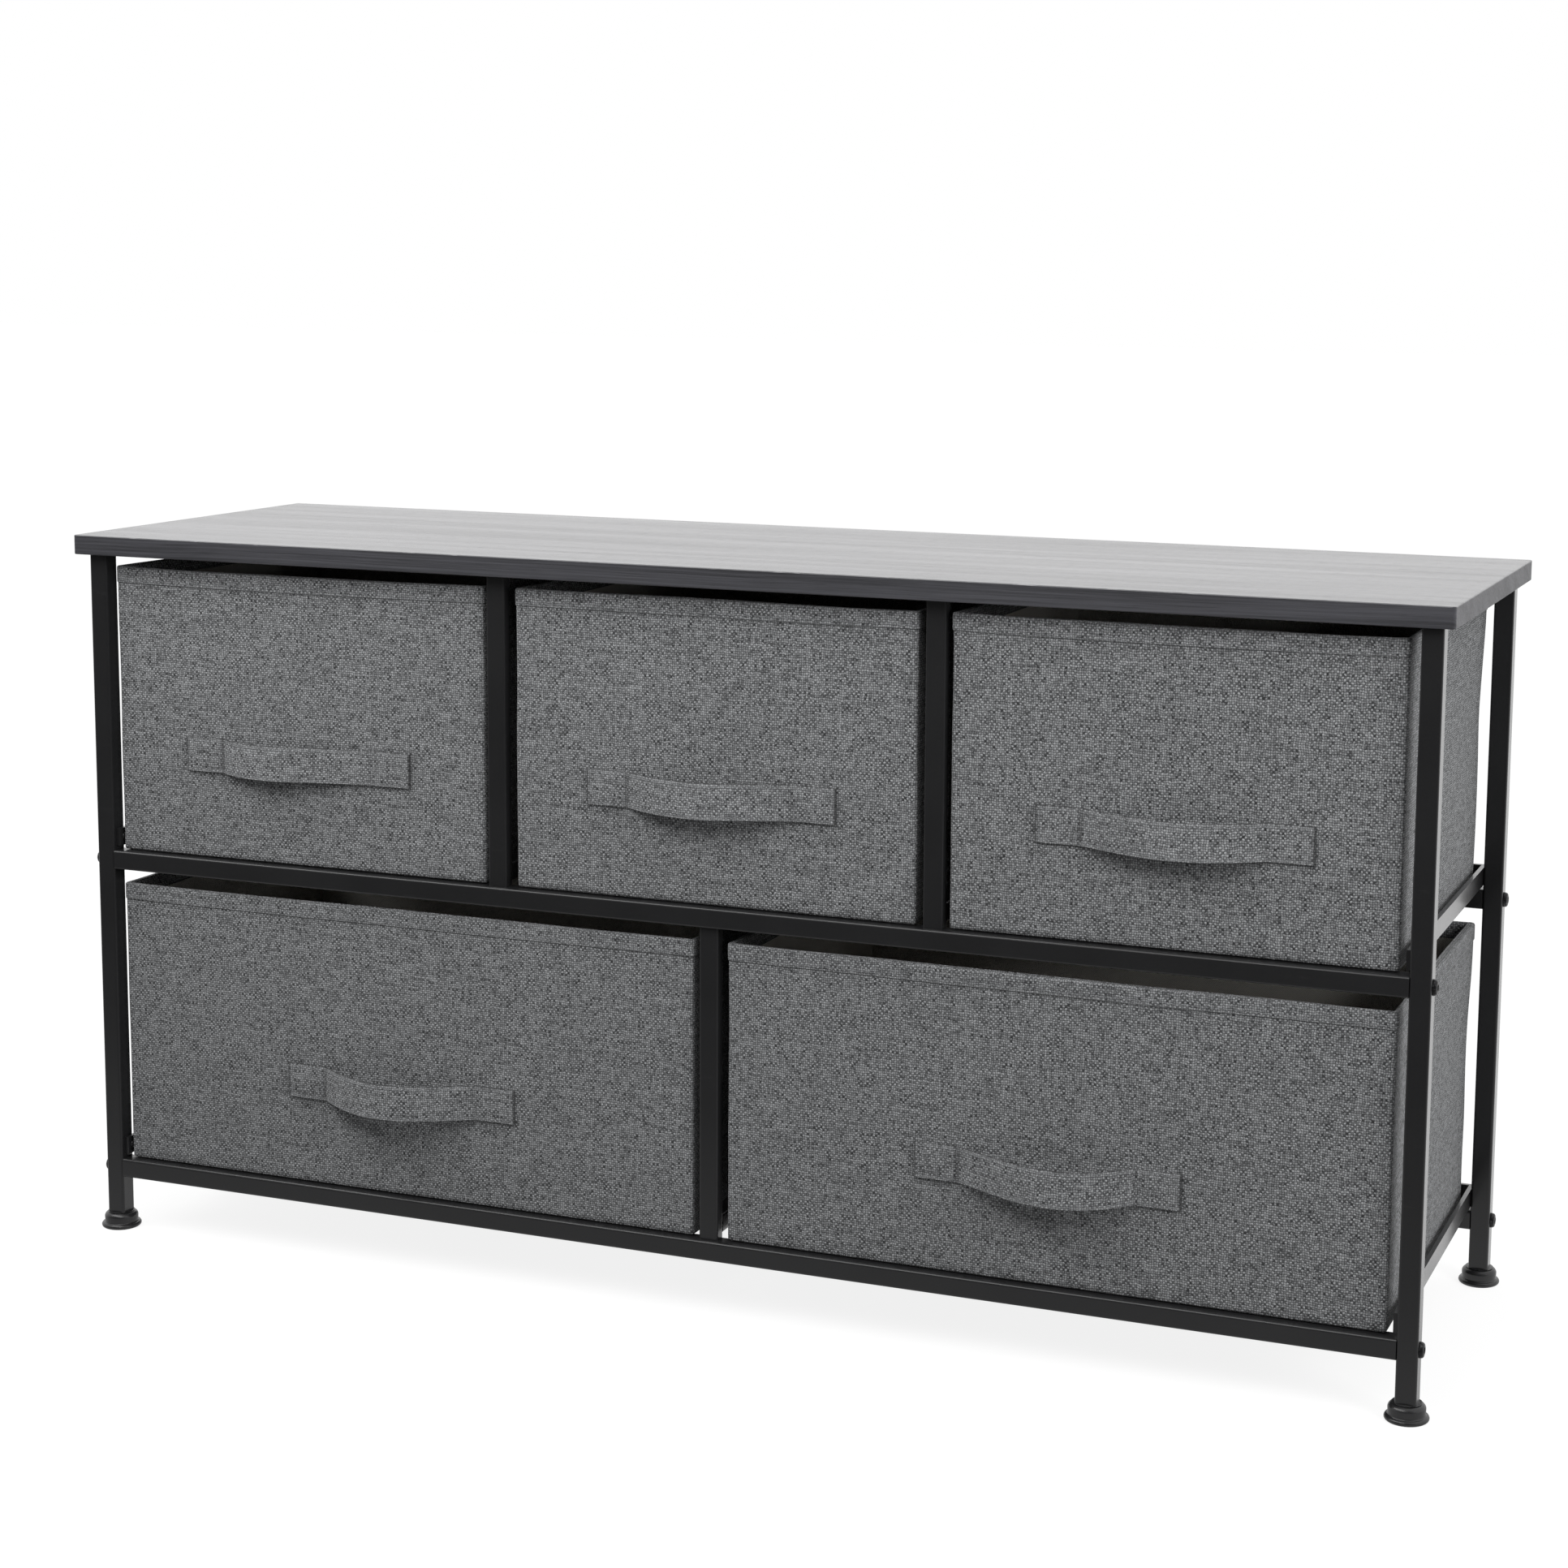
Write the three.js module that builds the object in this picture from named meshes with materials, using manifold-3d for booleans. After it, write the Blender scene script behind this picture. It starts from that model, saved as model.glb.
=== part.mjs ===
// A fabric drawer dresser: a laminated board on a bolted frame of square steel tube, with three small
// fabric drawers over two wide ones. Millimetres, +Z up. The front faces -Y, and the origin is on the
// floor under the middle of the whole, the pull straps included.
import * as THREE from "three";
import { mergeVertices } from "three/addons/utils/BufferGeometryUtils.js";
import Module from "manifold-3d";

const wasm = await Module();
wasm.setup();

// Top board
const BOARD_WIDTH = 1000;
const BOARD_DEPTH = 300;
const BOARD_THICKNESS = 14;
const BOARD_CORNER_RADIUS = 2;
const BOARD_EDGE_BEVEL = 0.6;

// Steel tube of the legs and rails
const TUBE_SIDE = 14;
const TUBE_WALL = 1.2;
const TUBE_CORNER_RADIUS = 1.8;
const LEG_SIDE_INSET = 8;
const LEG_FRONT_INSET = 8;

// Clear height under the bottom rails
const RAIL_CLEARANCE = 40;

// Posts between the drawers, and the thin bars that guide and stop the drawers
const POST_WIDTH = 14;
const POST_DEPTH = 10;
const POST_SETBACK = 4;
const BAR_THICKNESS = 3;
const BAR_HEIGHT = 13;
const BAR_LIFT = 3;

// Bolts through the legs into the rails' end plugs
const BOLT_DIAMETER = 6;
const BOLT_HOLE_CLEARANCE = 0.4;
const BOLT_TIP_CHAMFER = 0.8;
const BOLT_HEAD_DIAMETER = 10.5;
const BOLT_HEAD_HEIGHT = 3;
const BOLT_HEAD_RIM = 0.5;
const BOLT_SOCKET_WIDTH = 4;
const BOLT_SOCKET_DEPTH = 1.7;
const RAIL_PLUG_LENGTH = 12;
const BOLT_REACH = 10;

// Round plastic feet, each with a square stem inside its leg
const FOOT_HEIGHT = 12;
const FOOT_DIAMETER = 29;
const FOOT_RIM_HEIGHT = 5;
const FOOT_RIM_ROUND = 1.6;
const FOOT_CONE_DIAMETER = 25;
const FOOT_SEAT_DIAMETER = 21;
const FOOT_SEAT_HEIGHT = 1.5;
const FOOT_STEM_LENGTH = 16;
const FOOT_STEM_CLEARANCE = 0.3;

// Fabric drawers
const DRAWER_HEIGHT = 210;
const DRAWER_SETBACK = 7;
const DRAWER_STOP_CLEARANCE = 4;
const DRAWER_SIDE_CLEARANCE = 6.3;
const DRAWER_RAIL_CLEARANCE = 0.5;
const UPPER_HEADROOM = 8.5;
const LOWER_HEADROOM = 10.5;
const DRAWER_WALL = 3;
const DRAWER_FLOOR = 3;
const DRAWER_CORNER_RADIUS = 6;
const DRAWER_EDGE_ROUND = 1.5;
const DRAWER_SIDE_BULGE = 1.6;
const HEM_HEIGHT = 12;
const HEM_THICKNESS = 0.7;
const BASE_THICKNESS = 2;
const BASE_CLEARANCE = 1;
const SEATING_GAP = 0.3;

// Cloth pull straps, sewn flat at both ends and bowed out between
const STRAP_LENGTH = 184;
const STRAP_HEIGHT = 25;
const STRAP_THICKNESS = 2;
const STRAP_PATCH = 31;
const STRAP_RISE = 63;
const UPPER_LEFT_BOW = 9;
const UPPER_MIDDLE_BOW = 14.5;
const UPPER_RIGHT_BOW = 17;
const LOWER_LEFT_BOW = 21.5;
const LOWER_RIGHT_BOW = 24;
const UPPER_LEFT_PEAK_SHARE = 0.32;
const UPPER_MIDDLE_PEAK_SHARE = 0.42;
const UPPER_RIGHT_PEAK_SHARE = 0.54;
const LOWER_LEFT_PEAK_SHARE = 0.46;
const LOWER_RIGHT_PEAK_SHARE = 0.58;

// Counts of drawers, and of the steps along curves
const UPPER_DRAWERS = 3;
const LOWER_DRAWERS = 2;
const CORNER_STEPS = 3;
const DRAWER_CORNER_STEPS = 4;
const SIDE_STEPS = 6;
const BULGE_STEPS = 4;
const BOW_STEPS = 16;
const ROUND_STEPS = 20;
const BOLT_STEPS = 12;
const DOME_STEPS = 3;
const MERGE_TOLERANCE = 1e-4;

// Places worked out from the sizes above
const LEG_OUTER_X = BOARD_WIDTH / 2 - LEG_SIDE_INSET;
const LEG_INNER_X = LEG_OUTER_X - TUBE_SIDE;
const LEG_CENTRE_X = (LEG_OUTER_X + LEG_INNER_X) / 2;
const LEG_OUTER_Y = BOARD_DEPTH / 2 - LEG_FRONT_INSET;
const LEG_CENTRE_Y = LEG_OUTER_Y - TUBE_SIDE / 2;
const POST_OUTER_Y = LEG_OUTER_Y - POST_SETBACK;
const POST_CENTRE_Y = POST_OUTER_Y - POST_DEPTH / 2;
const UPPER_BAY_HEIGHT = DRAWER_RAIL_CLEARANCE + DRAWER_HEIGHT + UPPER_HEADROOM;
const LOWER_BAY_HEIGHT = DRAWER_RAIL_CLEARANCE + DRAWER_HEIGHT + LOWER_HEADROOM;
const BOTTOM_RAIL_TOP = RAIL_CLEARANCE + TUBE_SIDE;
const MIDDLE_RAIL_TOP = BOTTOM_RAIL_TOP + LOWER_BAY_HEIGHT + TUBE_SIDE;
const BOARD_UNDERSIDE = MIDDLE_RAIL_TOP + UPPER_BAY_HEIGHT;
const DRAWER_FRONT_Y = -LEG_OUTER_Y + DRAWER_SETBACK;
const DRAWER_DEPTH = POST_OUTER_Y - DRAWER_STOP_CLEARANCE - DRAWER_FRONT_Y;
const DRAWER_CENTRE_Y = DRAWER_FRONT_Y + DRAWER_DEPTH / 2;
const QUARTER = Math.PI / 2;

const rows = [
  {
    names: ["upper_left", "upper_middle", "upper_right"],
    count: UPPER_DRAWERS,
    railTop: MIDDLE_RAIL_TOP,
    bayHeight: UPPER_BAY_HEIGHT,
    level: "middle",
    postNames: ["upper_left", "upper_right"],
    bows: [UPPER_LEFT_BOW, UPPER_MIDDLE_BOW, UPPER_RIGHT_BOW],
    peaks: [UPPER_LEFT_PEAK_SHARE, UPPER_MIDDLE_PEAK_SHARE, UPPER_RIGHT_PEAK_SHARE],
  },
  {
    names: ["lower_left", "lower_right"],
    count: LOWER_DRAWERS,
    railTop: BOTTOM_RAIL_TOP,
    bayHeight: LOWER_BAY_HEIGHT,
    level: "bottom",
    postNames: ["lower"],
    bows: [LOWER_LEFT_BOW, LOWER_RIGHT_BOW],
    peaks: [LOWER_LEFT_PEAK_SHARE, LOWER_RIGHT_PEAK_SHARE],
  },
];
const sides = [
  { name: "left", sign: -1 },
  { name: "right", sign: 1 },
];
const ends = [
  { name: "front", sign: -1 },
  { name: "rear", sign: 1 },
];

const materials = {
  board: () => new THREE.MeshStandardMaterial({ color: 0x3c3b3f, roughness: 0.5, metalness: 0 }),
  steel: () => new THREE.MeshStandardMaterial({ color: 0x1b1b1c, roughness: 0.42, metalness: 0.3 }),
  bolt: () => new THREE.MeshStandardMaterial({ color: 0x202021, roughness: 0.35, metalness: 0.8 }),
  plastic: () => new THREE.MeshStandardMaterial({ color: 0x111112, roughness: 0.5, metalness: 0 }),
  fabric: () => new THREE.MeshStandardMaterial({ color: 0x6c6e71, roughness: 0.95, metalness: 0 }),
  lining: () => new THREE.MeshStandardMaterial({ color: 0xb5b2ad, roughness: 0.8, metalness: 0 }),
};

const dresser = new THREE.Group();

function solidFrom(geometry) {
  const bare = geometry.clone();
  bare.deleteAttribute("normal");
  bare.deleteAttribute("uv");
  const merged = mergeVertices(bare, MERGE_TOLERANCE);
  const vertProperties = merged.attributes.position.array;
  const triVerts = new Uint32Array(merged.index.array);
  return new wasm.Manifold(new wasm.Mesh({ numProp: 3, vertProperties, triVerts }));
}

function geometryFrom(solid) {
  const mesh = solid.getMesh();
  const geometry = new THREE.BufferGeometry();
  geometry.setAttribute("position", new THREE.BufferAttribute(mesh.vertProperties, 3));
  geometry.setIndex(new THREE.BufferAttribute(mesh.triVerts, 1));
  geometry.computeVertexNormals();
  return geometry;
}

function cut(geometry, cutters) {
  const whole = solidFrom(geometry);
  return geometryFrom(cutters.reduce((left, cutter) => left.subtract(solidFrom(cutter)), whole));
}

function join(first, second) {
  return geometryFrom(solidFrom(first).add(solidFrom(second)));
}

function addMesh(parent, name, geometry, material, position) {
  const mesh = new THREE.Mesh(geometry, material());
  mesh.name = name;
  mesh.position.copy(position);
  parent.add(mesh);
}

// An outline with round corners about the origin
function traceRoundedRectangle(path, width, height, radius) {
  const x = width / 2 - radius;
  const y = height / 2 - radius;
  path.moveTo(width / 2, -y);
  path.absarc(x, y, radius, 0, QUARTER, false);
  path.absarc(-x, y, radius, QUARTER, 2 * QUARTER, false);
  path.absarc(-x, -y, radius, 2 * QUARTER, 3 * QUARTER, false);
  path.absarc(x, -y, radius, 3 * QUARTER, 4 * QUARTER, false);
  return path;
}

function extrude(shape, length) {
  const options = { depth: length, bevelEnabled: false, curveSegments: CORNER_STEPS };
  return new THREE.ExtrudeGeometry(shape, options).translate(0, 0, -length / 2);
}

// A rectangular tube along Z, centred on the origin and open at both ends
function tubeAlongZ(width, depth, length) {
  const outline = traceRoundedRectangle(new THREE.Shape(), width, depth, TUBE_CORNER_RADIUS);
  const boreWidth = width - 2 * TUBE_WALL;
  const boreDepth = depth - 2 * TUBE_WALL;
  const boreRadius = TUBE_CORNER_RADIUS - TUBE_WALL;
  outline.holes.push(traceRoundedRectangle(new THREE.Path(), boreWidth, boreDepth, boreRadius));
  return extrude(outline, length);
}

function cylinderAlongX(diameter, length, x, z) {
  const cylinder = new THREE.CylinderGeometry(diameter / 2, diameter / 2, length, BOLT_STEPS);
  return cylinder.rotateZ(QUARTER).translate(x, 0, z);
}

function addBoard() {
  const shape = traceRoundedRectangle(
    new THREE.Shape(),
    BOARD_WIDTH - 2 * BOARD_EDGE_BEVEL,
    BOARD_DEPTH - 2 * BOARD_EDGE_BEVEL,
    BOARD_CORNER_RADIUS,
  );
  const geometry = new THREE.ExtrudeGeometry(shape, {
    depth: BOARD_THICKNESS - 2 * BOARD_EDGE_BEVEL,
    bevelThickness: BOARD_EDGE_BEVEL,
    bevelSize: BOARD_EDGE_BEVEL,
    bevelSegments: 2,
    curveSegments: CORNER_STEPS,
  });
  const place = new THREE.Vector3(0, 0, BOARD_UNDERSIDE + BOARD_EDGE_BEVEL);
  addMesh(dresser, "top_board", geometry, materials.board, place);
}

// A leg is a tube from its foot to the board, drilled across for the two rail bolts
function legGeometry() {
  const length = BOARD_UNDERSIDE - FOOT_HEIGHT;
  const centreZ = FOOT_HEIGHT + length / 2;
  const holes = rows.map((row) =>
    cylinderAlongX(
      BOLT_DIAMETER + BOLT_HOLE_CLEARANCE,
      2 * TUBE_SIDE,
      0,
      row.railTop - TUBE_SIDE / 2 - centreZ,
    ),
  );
  return cut(tubeAlongZ(TUBE_SIDE, TUBE_SIDE, length), holes);
}

// A foot is a round glide in two tiers, with a square stem that plugs the leg
function footGeometry() {
  const radius = FOOT_DIAMETER / 2;
  const profile = [new THREE.Vector2(0, 0), new THREE.Vector2(radius - FOOT_RIM_ROUND, 0)];
  const roundCentres = [FOOT_RIM_ROUND, FOOT_RIM_HEIGHT - FOOT_RIM_ROUND];
  roundCentres.forEach((height, turn) => {
    for (let step = 0; step <= DOME_STEPS; step += 1) {
      const angle = -QUARTER + QUARTER * (turn + step / DOME_STEPS);
      profile.push(
        new THREE.Vector2(
          radius - FOOT_RIM_ROUND + FOOT_RIM_ROUND * Math.cos(angle),
          height + FOOT_RIM_ROUND * Math.sin(angle),
        ),
      );
    }
  });
  profile.push(
    new THREE.Vector2(FOOT_CONE_DIAMETER / 2, FOOT_RIM_HEIGHT),
    new THREE.Vector2(FOOT_SEAT_DIAMETER / 2, FOOT_HEIGHT - FOOT_SEAT_HEIGHT),
    new THREE.Vector2(FOOT_SEAT_DIAMETER / 2, FOOT_HEIGHT),
    new THREE.Vector2(0, FOOT_HEIGHT),
  );
  const glide = new THREE.LatheGeometry(profile, ROUND_STEPS).rotateX(QUARTER);
  const stemSide = TUBE_SIDE - 2 * TUBE_WALL - 2 * FOOT_STEM_CLEARANCE;
  const stemLength = FOOT_STEM_LENGTH + FOOT_HEIGHT / 2;
  const stem = new THREE.BoxGeometry(stemSide, stemSide, stemLength);
  stem.translate(0, 0, FOOT_HEIGHT / 2 + stemLength / 2);
  return join(glide, stem);
}

function addLegsAndFeet() {
  const leg = legGeometry();
  const foot = footGeometry();
  const legCentreZ = (FOOT_HEIGHT + BOARD_UNDERSIDE) / 2;
  for (const end of ends) {
    for (const side of sides) {
      const corner = end.name + "_" + side.name;
      const x = side.sign * LEG_CENTRE_X;
      const y = end.sign * LEG_CENTRE_Y;
      addMesh(dresser, "leg_" + corner, leg, materials.steel, new THREE.Vector3(x, y, legCentreZ));
      addMesh(dresser, "foot_" + corner, foot, materials.plastic, new THREE.Vector3(x, y, 0));
    }
  }
}

// A rail is a tube with a plug in each end, bored for its bolt
function railGeometry() {
  const length = 2 * LEG_INNER_X;
  const shape = traceRoundedRectangle(new THREE.Shape(), TUBE_SIDE, TUBE_SIDE, TUBE_CORNER_RADIUS);
  const inside = TUBE_SIDE - 2 * TUBE_WALL;
  const hollow = new THREE.BoxGeometry(length - 2 * RAIL_PLUG_LENGTH, inside, inside);
  const bore = cylinderAlongX(BOLT_DIAMETER + BOLT_HOLE_CLEARANCE, length + TUBE_SIDE, 0, 0);
  return cut(extrude(shape, length).rotateY(QUARTER), [hollow, bore]);
}

// A button head bolt along Z, with the underside of its head at the origin
function boltGeometry() {
  const shankRadius = BOLT_DIAMETER / 2;
  const headRadius = BOLT_HEAD_DIAMETER / 2;
  const shankEnd = -(TUBE_SIDE + BOLT_REACH);
  const profile = [
    new THREE.Vector2(0, shankEnd),
    new THREE.Vector2(shankRadius - BOLT_TIP_CHAMFER, shankEnd),
    new THREE.Vector2(shankRadius, shankEnd + BOLT_TIP_CHAMFER),
    new THREE.Vector2(shankRadius, 0),
    new THREE.Vector2(headRadius, 0),
  ];
  for (let step = 0; step <= DOME_STEPS; step += 1) {
    const angle = (step / (DOME_STEPS + 1)) * QUARTER;
    const dome = (BOLT_HEAD_HEIGHT - BOLT_HEAD_RIM) * Math.sin(angle);
    profile.push(new THREE.Vector2(headRadius * Math.cos(angle), BOLT_HEAD_RIM + dome));
  }
  profile.push(new THREE.Vector2(BOLT_SOCKET_WIDTH / 2, BOLT_HEAD_HEIGHT));
  profile.push(new THREE.Vector2(0, BOLT_HEAD_HEIGHT));
  const body = new THREE.LatheGeometry(profile, BOLT_STEPS).rotateX(QUARTER);
  const socketRadius = BOLT_SOCKET_WIDTH / Math.sqrt(3);
  const socket = new THREE.CylinderGeometry(socketRadius, socketRadius, 2 * BOLT_SOCKET_DEPTH, 6);
  return cut(body, [socket.rotateX(QUARTER).translate(0, 0, BOLT_HEAD_HEIGHT)]);
}

function addRailsAndBolts() {
  const rail = railGeometry();
  for (const end of ends) {
    for (const row of rows) {
      const y = end.sign * LEG_CENTRE_Y;
      const z = row.railTop - TUBE_SIDE / 2;
      const name = end.name + "_" + row.level;
      addMesh(dresser, "rail_" + name, rail, materials.steel, new THREE.Vector3(0, y, z));
      for (const side of sides) {
        const bolt = boltGeometry().rotateY(side.sign * QUARTER);
        const place = new THREE.Vector3(side.sign * LEG_OUTER_X, y, z);
        addMesh(dresser, "bolt_" + name + "_" + side.name, bolt, materials.bolt, place);
      }
    }
  }
}

// Thin bars beside and behind the drawers, level with each other above the rails
function addBars() {
  const sideLength = 2 * POST_OUTER_Y;
  const stopLength = 2 * LEG_INNER_X;
  for (const row of rows) {
    const z = row.railTop + BAR_LIFT + BAR_HEIGHT / 2;
    const stop = new THREE.BoxGeometry(stopLength, BAR_THICKNESS, BAR_HEIGHT);
    const stopPlace = new THREE.Vector3(0, POST_OUTER_Y + BAR_THICKNESS / 2, z);
    addMesh(dresser, "stop_bar_" + row.level, stop, materials.steel, stopPlace);
    for (const side of sides) {
      const bar = new THREE.BoxGeometry(BAR_THICKNESS, sideLength, BAR_HEIGHT);
      const place = new THREE.Vector3(side.sign * (LEG_INNER_X - BAR_THICKNESS / 2), 0, z);
      addMesh(dresser, "side_bar_" + row.level + "_" + side.name, bar, materials.steel, place);
    }
  }
}

function bayWidth(row) {
  return (2 * LEG_INNER_X - (row.count - 1) * POST_WIDTH) / row.count;
}

function bayCentreX(row, index) {
  return -LEG_INNER_X + bayWidth(row) / 2 + index * (bayWidth(row) + POST_WIDTH);
}

// Between two drawers a post stands at the front and one at the rear, joined by a guide tube
function addDividers() {
  for (const row of rows) {
    for (let index = 0; index < row.count - 1; index += 1) {
      const x = bayCentreX(row, index) + (bayWidth(row) + POST_WIDTH) / 2;
      const name = row.postNames[index];
      for (const end of ends) {
        const post = tubeAlongZ(POST_WIDTH, POST_DEPTH, row.bayHeight);
        const z = row.railTop + row.bayHeight / 2;
        const place = new THREE.Vector3(x, end.sign * POST_CENTRE_Y, z);
        addMesh(dresser, "post_" + end.name + "_" + name, post, materials.steel, place);
      }
      const guideLength = 2 * (POST_OUTER_Y - POST_DEPTH);
      const guide = tubeAlongZ(POST_WIDTH, BAR_HEIGHT, guideLength).rotateX(-QUARTER);
      const guidePlace = new THREE.Vector3(x, 0, row.railTop + BAR_LIFT + BAR_HEIGHT / 2);
      addMesh(dresser, "guide_" + name, guide, materials.steel, guidePlace);
    }
  }
}

// One level of a drawer's wall: a rectangle with round corners whose sides swell outwards
function ring(width, depth, radius, bulge, z) {
  const x = width / 2 - radius;
  const y = depth / 2 - radius;
  const centres = [[x, -y], [x, y], [-x, y], [-x, -y]];
  const points = [];
  centres.forEach(([centreX, centreY], corner) => {
    for (let step = 0; step <= DRAWER_CORNER_STEPS; step += 1) {
      const angle = (corner - 1 + step / DRAWER_CORNER_STEPS) * QUARTER;
      const px = centreX + radius * Math.cos(angle);
      const py = centreY + radius * Math.sin(angle);
      points.push(new THREE.Vector3(px, py, z));
    }
    const along = corner % 2 === 0;
    for (let step = 1; along && step < SIDE_STEPS; step += 1) {
      const share = step / SIDE_STEPS;
      const out = Math.sign(centreX) * (width / 2 + bulge * Math.sin(Math.PI * share));
      points.push(new THREE.Vector3(out, centreY - 2 * centreY * share, z));
    }
  });
  return points;
}

// A skin through the rings in turn, closed by a fan at the first ring and at the last
function loft(rings) {
  const count = rings[0].length;
  const vertices = rings.flat();
  const foot = vertices.push(new THREE.Vector3(0, 0, rings[0][0].z)) - 1;
  const floor = vertices.push(new THREE.Vector3(0, 0, rings[rings.length - 1][0].z)) - 1;
  const last = (rings.length - 1) * count;
  const faces = [];
  for (let index = 0; index < count; index += 1) {
    const next = (index + 1) % count;
    faces.push(foot, next, index, last + index, last + next, floor);
    for (let level = 0; level < rings.length - 1; level += 1) {
      const low = level * count;
      const high = low + count;
      faces.push(low + index, low + next, high + next, low + index, high + next, high + index);
    }
  }
  const geometry = new THREE.BufferGeometry().setFromPoints(vertices);
  geometry.setIndex(faces);
  geometry.computeVertexNormals();
  return geometry;
}

// A drawer is a covered board tray with a folded hem round its mouth
function drawerGeometry(width) {
  const level = (inset, bulge, z) =>
    ring(width - 2 * inset, DRAWER_DEPTH - 2 * inset, DRAWER_CORNER_RADIUS - inset, bulge, z);
  const swellTop = DRAWER_HEIGHT - HEM_HEIGHT;
  const swellHeights = [];
  for (let step = 1; step < BULGE_STEPS; step += 1) {
    swellHeights.push(DRAWER_FLOOR + ((swellTop - DRAWER_FLOOR) * step) / BULGE_STEPS);
  }
  const swell = (z) => DRAWER_SIDE_BULGE * Math.sin((Math.PI * z) / swellTop);
  const outside = swellHeights.map((z) => level(0, swell(z), z));
  const inside = swellHeights.map((z) => level(DRAWER_WALL, swell(z), z)).reverse();
  return loft([
    level(DRAWER_EDGE_ROUND, 0, 0),
    level(0, 0, DRAWER_EDGE_ROUND),
    ...outside,
    level(0, 0, swellTop),
    level(-HEM_THICKNESS, 0, swellTop + HEM_THICKNESS),
    level(-HEM_THICKNESS, 0, DRAWER_HEIGHT - HEM_THICKNESS),
    level(0, 0, DRAWER_HEIGHT),
    level(DRAWER_WALL, 0, DRAWER_HEIGHT),
    level(DRAWER_WALL, 0, swellTop),
    ...inside,
    level(DRAWER_WALL, 0, DRAWER_FLOOR),
  ]);
}

function baseGeometry(width) {
  const inset = DRAWER_WALL + BASE_CLEARANCE;
  const radius = DRAWER_CORNER_RADIUS - DRAWER_WALL;
  const shape = new THREE.Shape();
  traceRoundedRectangle(shape, width - 2 * inset, DRAWER_DEPTH - 2 * inset, radius);
  return extrude(shape, BASE_THICKNESS);
}

// The strap seen from above: flat patches at the ends and a bow between, highest at its peak share
function strapGeometry(bow, peakShare) {
  const span = STRAP_LENGTH - 2 * STRAP_PATCH;
  const skew = (0.5 - peakShare) / (peakShare * (1 - peakShare));
  const back = [new THREE.Vector2(-STRAP_LENGTH / 2, 0)];
  for (let step = 0; step <= BOW_STEPS; step += 1) {
    const share = step / BOW_STEPS;
    const turn = share + skew * share * (1 - share);
    back.push(new THREE.Vector2(span * share - span / 2, -bow * Math.sin(Math.PI * turn)));
  }
  back.push(new THREE.Vector2(STRAP_LENGTH / 2, 0));
  const front = back.map((point) => new THREE.Vector2(point.x, point.y - STRAP_THICKNESS));
  return extrude(new THREE.Shape([...front, ...back.reverse()]), STRAP_HEIGHT);
}

function addDrawers() {
  for (const row of rows) {
    const width = bayWidth(row) - 2 * DRAWER_SIDE_CLEARANCE;
    for (let index = 0; index < row.count; index += 1) {
      const name = "drawer_" + row.names[index];
      const drawer = new THREE.Group();
      const bottom = row.railTop + DRAWER_RAIL_CLEARANCE;
      drawer.position.set(bayCentreX(row, index), DRAWER_CENTRE_Y, bottom);
      addMesh(drawer, name + "_bin", drawerGeometry(width), materials.fabric, new THREE.Vector3());
      const baseZ = DRAWER_FLOOR + SEATING_GAP + BASE_THICKNESS / 2;
      const basePlace = new THREE.Vector3(0, 0, baseZ);
      addMesh(drawer, name + "_base", baseGeometry(width), materials.lining, basePlace);
      const strapZ = STRAP_RISE + STRAP_HEIGHT / 2;
      const strapPlace = new THREE.Vector3(0, -DRAWER_DEPTH / 2 - SEATING_GAP, strapZ);
      const strap = strapGeometry(row.bows[index], row.peaks[index]);
      addMesh(drawer, name + "_handle", strap, materials.fabric, strapPlace);
      dresser.add(drawer);
    }
  }
}

addBoard();
addLegsAndFeet();
addRailsAndBolts();
addBars();
addDividers();
addDrawers();
const furthestBow = Math.max(...rows.flatMap((row) => row.bows));
const strapReach = -DRAWER_FRONT_Y + SEATING_GAP + furthestBow + STRAP_THICKNESS;
dresser.position.y = (strapReach - BOARD_DEPTH / 2) / 2;

export default dresser;
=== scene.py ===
"""The looks of a fabric drawer dresser: five cloth drawers with sewn pull straps, in a black steel frame
under a dark wood-grain board. Lengths are in metres, the front faces -Y and the floor is at zero."""

import math

import bmesh
import bpy
from mathutils import Matrix, Vector, noise


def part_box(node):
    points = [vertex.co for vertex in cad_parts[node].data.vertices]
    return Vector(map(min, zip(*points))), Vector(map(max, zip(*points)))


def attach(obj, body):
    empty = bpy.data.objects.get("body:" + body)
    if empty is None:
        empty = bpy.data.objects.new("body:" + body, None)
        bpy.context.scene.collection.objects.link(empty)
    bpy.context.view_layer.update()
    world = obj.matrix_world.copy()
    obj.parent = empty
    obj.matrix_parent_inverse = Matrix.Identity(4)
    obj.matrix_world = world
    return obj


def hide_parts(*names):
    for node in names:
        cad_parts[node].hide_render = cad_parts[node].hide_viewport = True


bl_info = {
    "name": "Fabric Drawer Dresser",
    "version": (1, 0, 0),
    "blender": (4, 5, 0),
    "location": "View3D > Sidebar > Dresser",
    "description": "Cloth drawers, pull straps, finishes and a studio for a drawer dresser",
    "category": "Object",
}

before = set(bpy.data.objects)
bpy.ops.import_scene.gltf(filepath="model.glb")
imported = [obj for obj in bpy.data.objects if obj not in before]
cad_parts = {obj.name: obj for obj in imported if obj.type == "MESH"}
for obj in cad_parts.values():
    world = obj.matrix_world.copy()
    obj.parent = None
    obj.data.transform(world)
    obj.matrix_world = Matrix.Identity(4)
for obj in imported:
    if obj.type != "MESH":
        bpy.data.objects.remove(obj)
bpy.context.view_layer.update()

DRAWERS = ("upper_left", "upper_middle", "upper_right", "lower_left", "lower_right")
# How far each drawer's left and right wall stands out, because the boards are never cut quite alike
WALL_REACH = {
    "upper_left": (0.0020, 0.0026),
    "upper_middle": (-0.0009, 0.0003),
    "upper_right": (0.0025, -0.0015),
    "lower_left": (0.0018, 0.0008),
    "lower_right": (0.0002, -0.0015),
}
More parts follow.
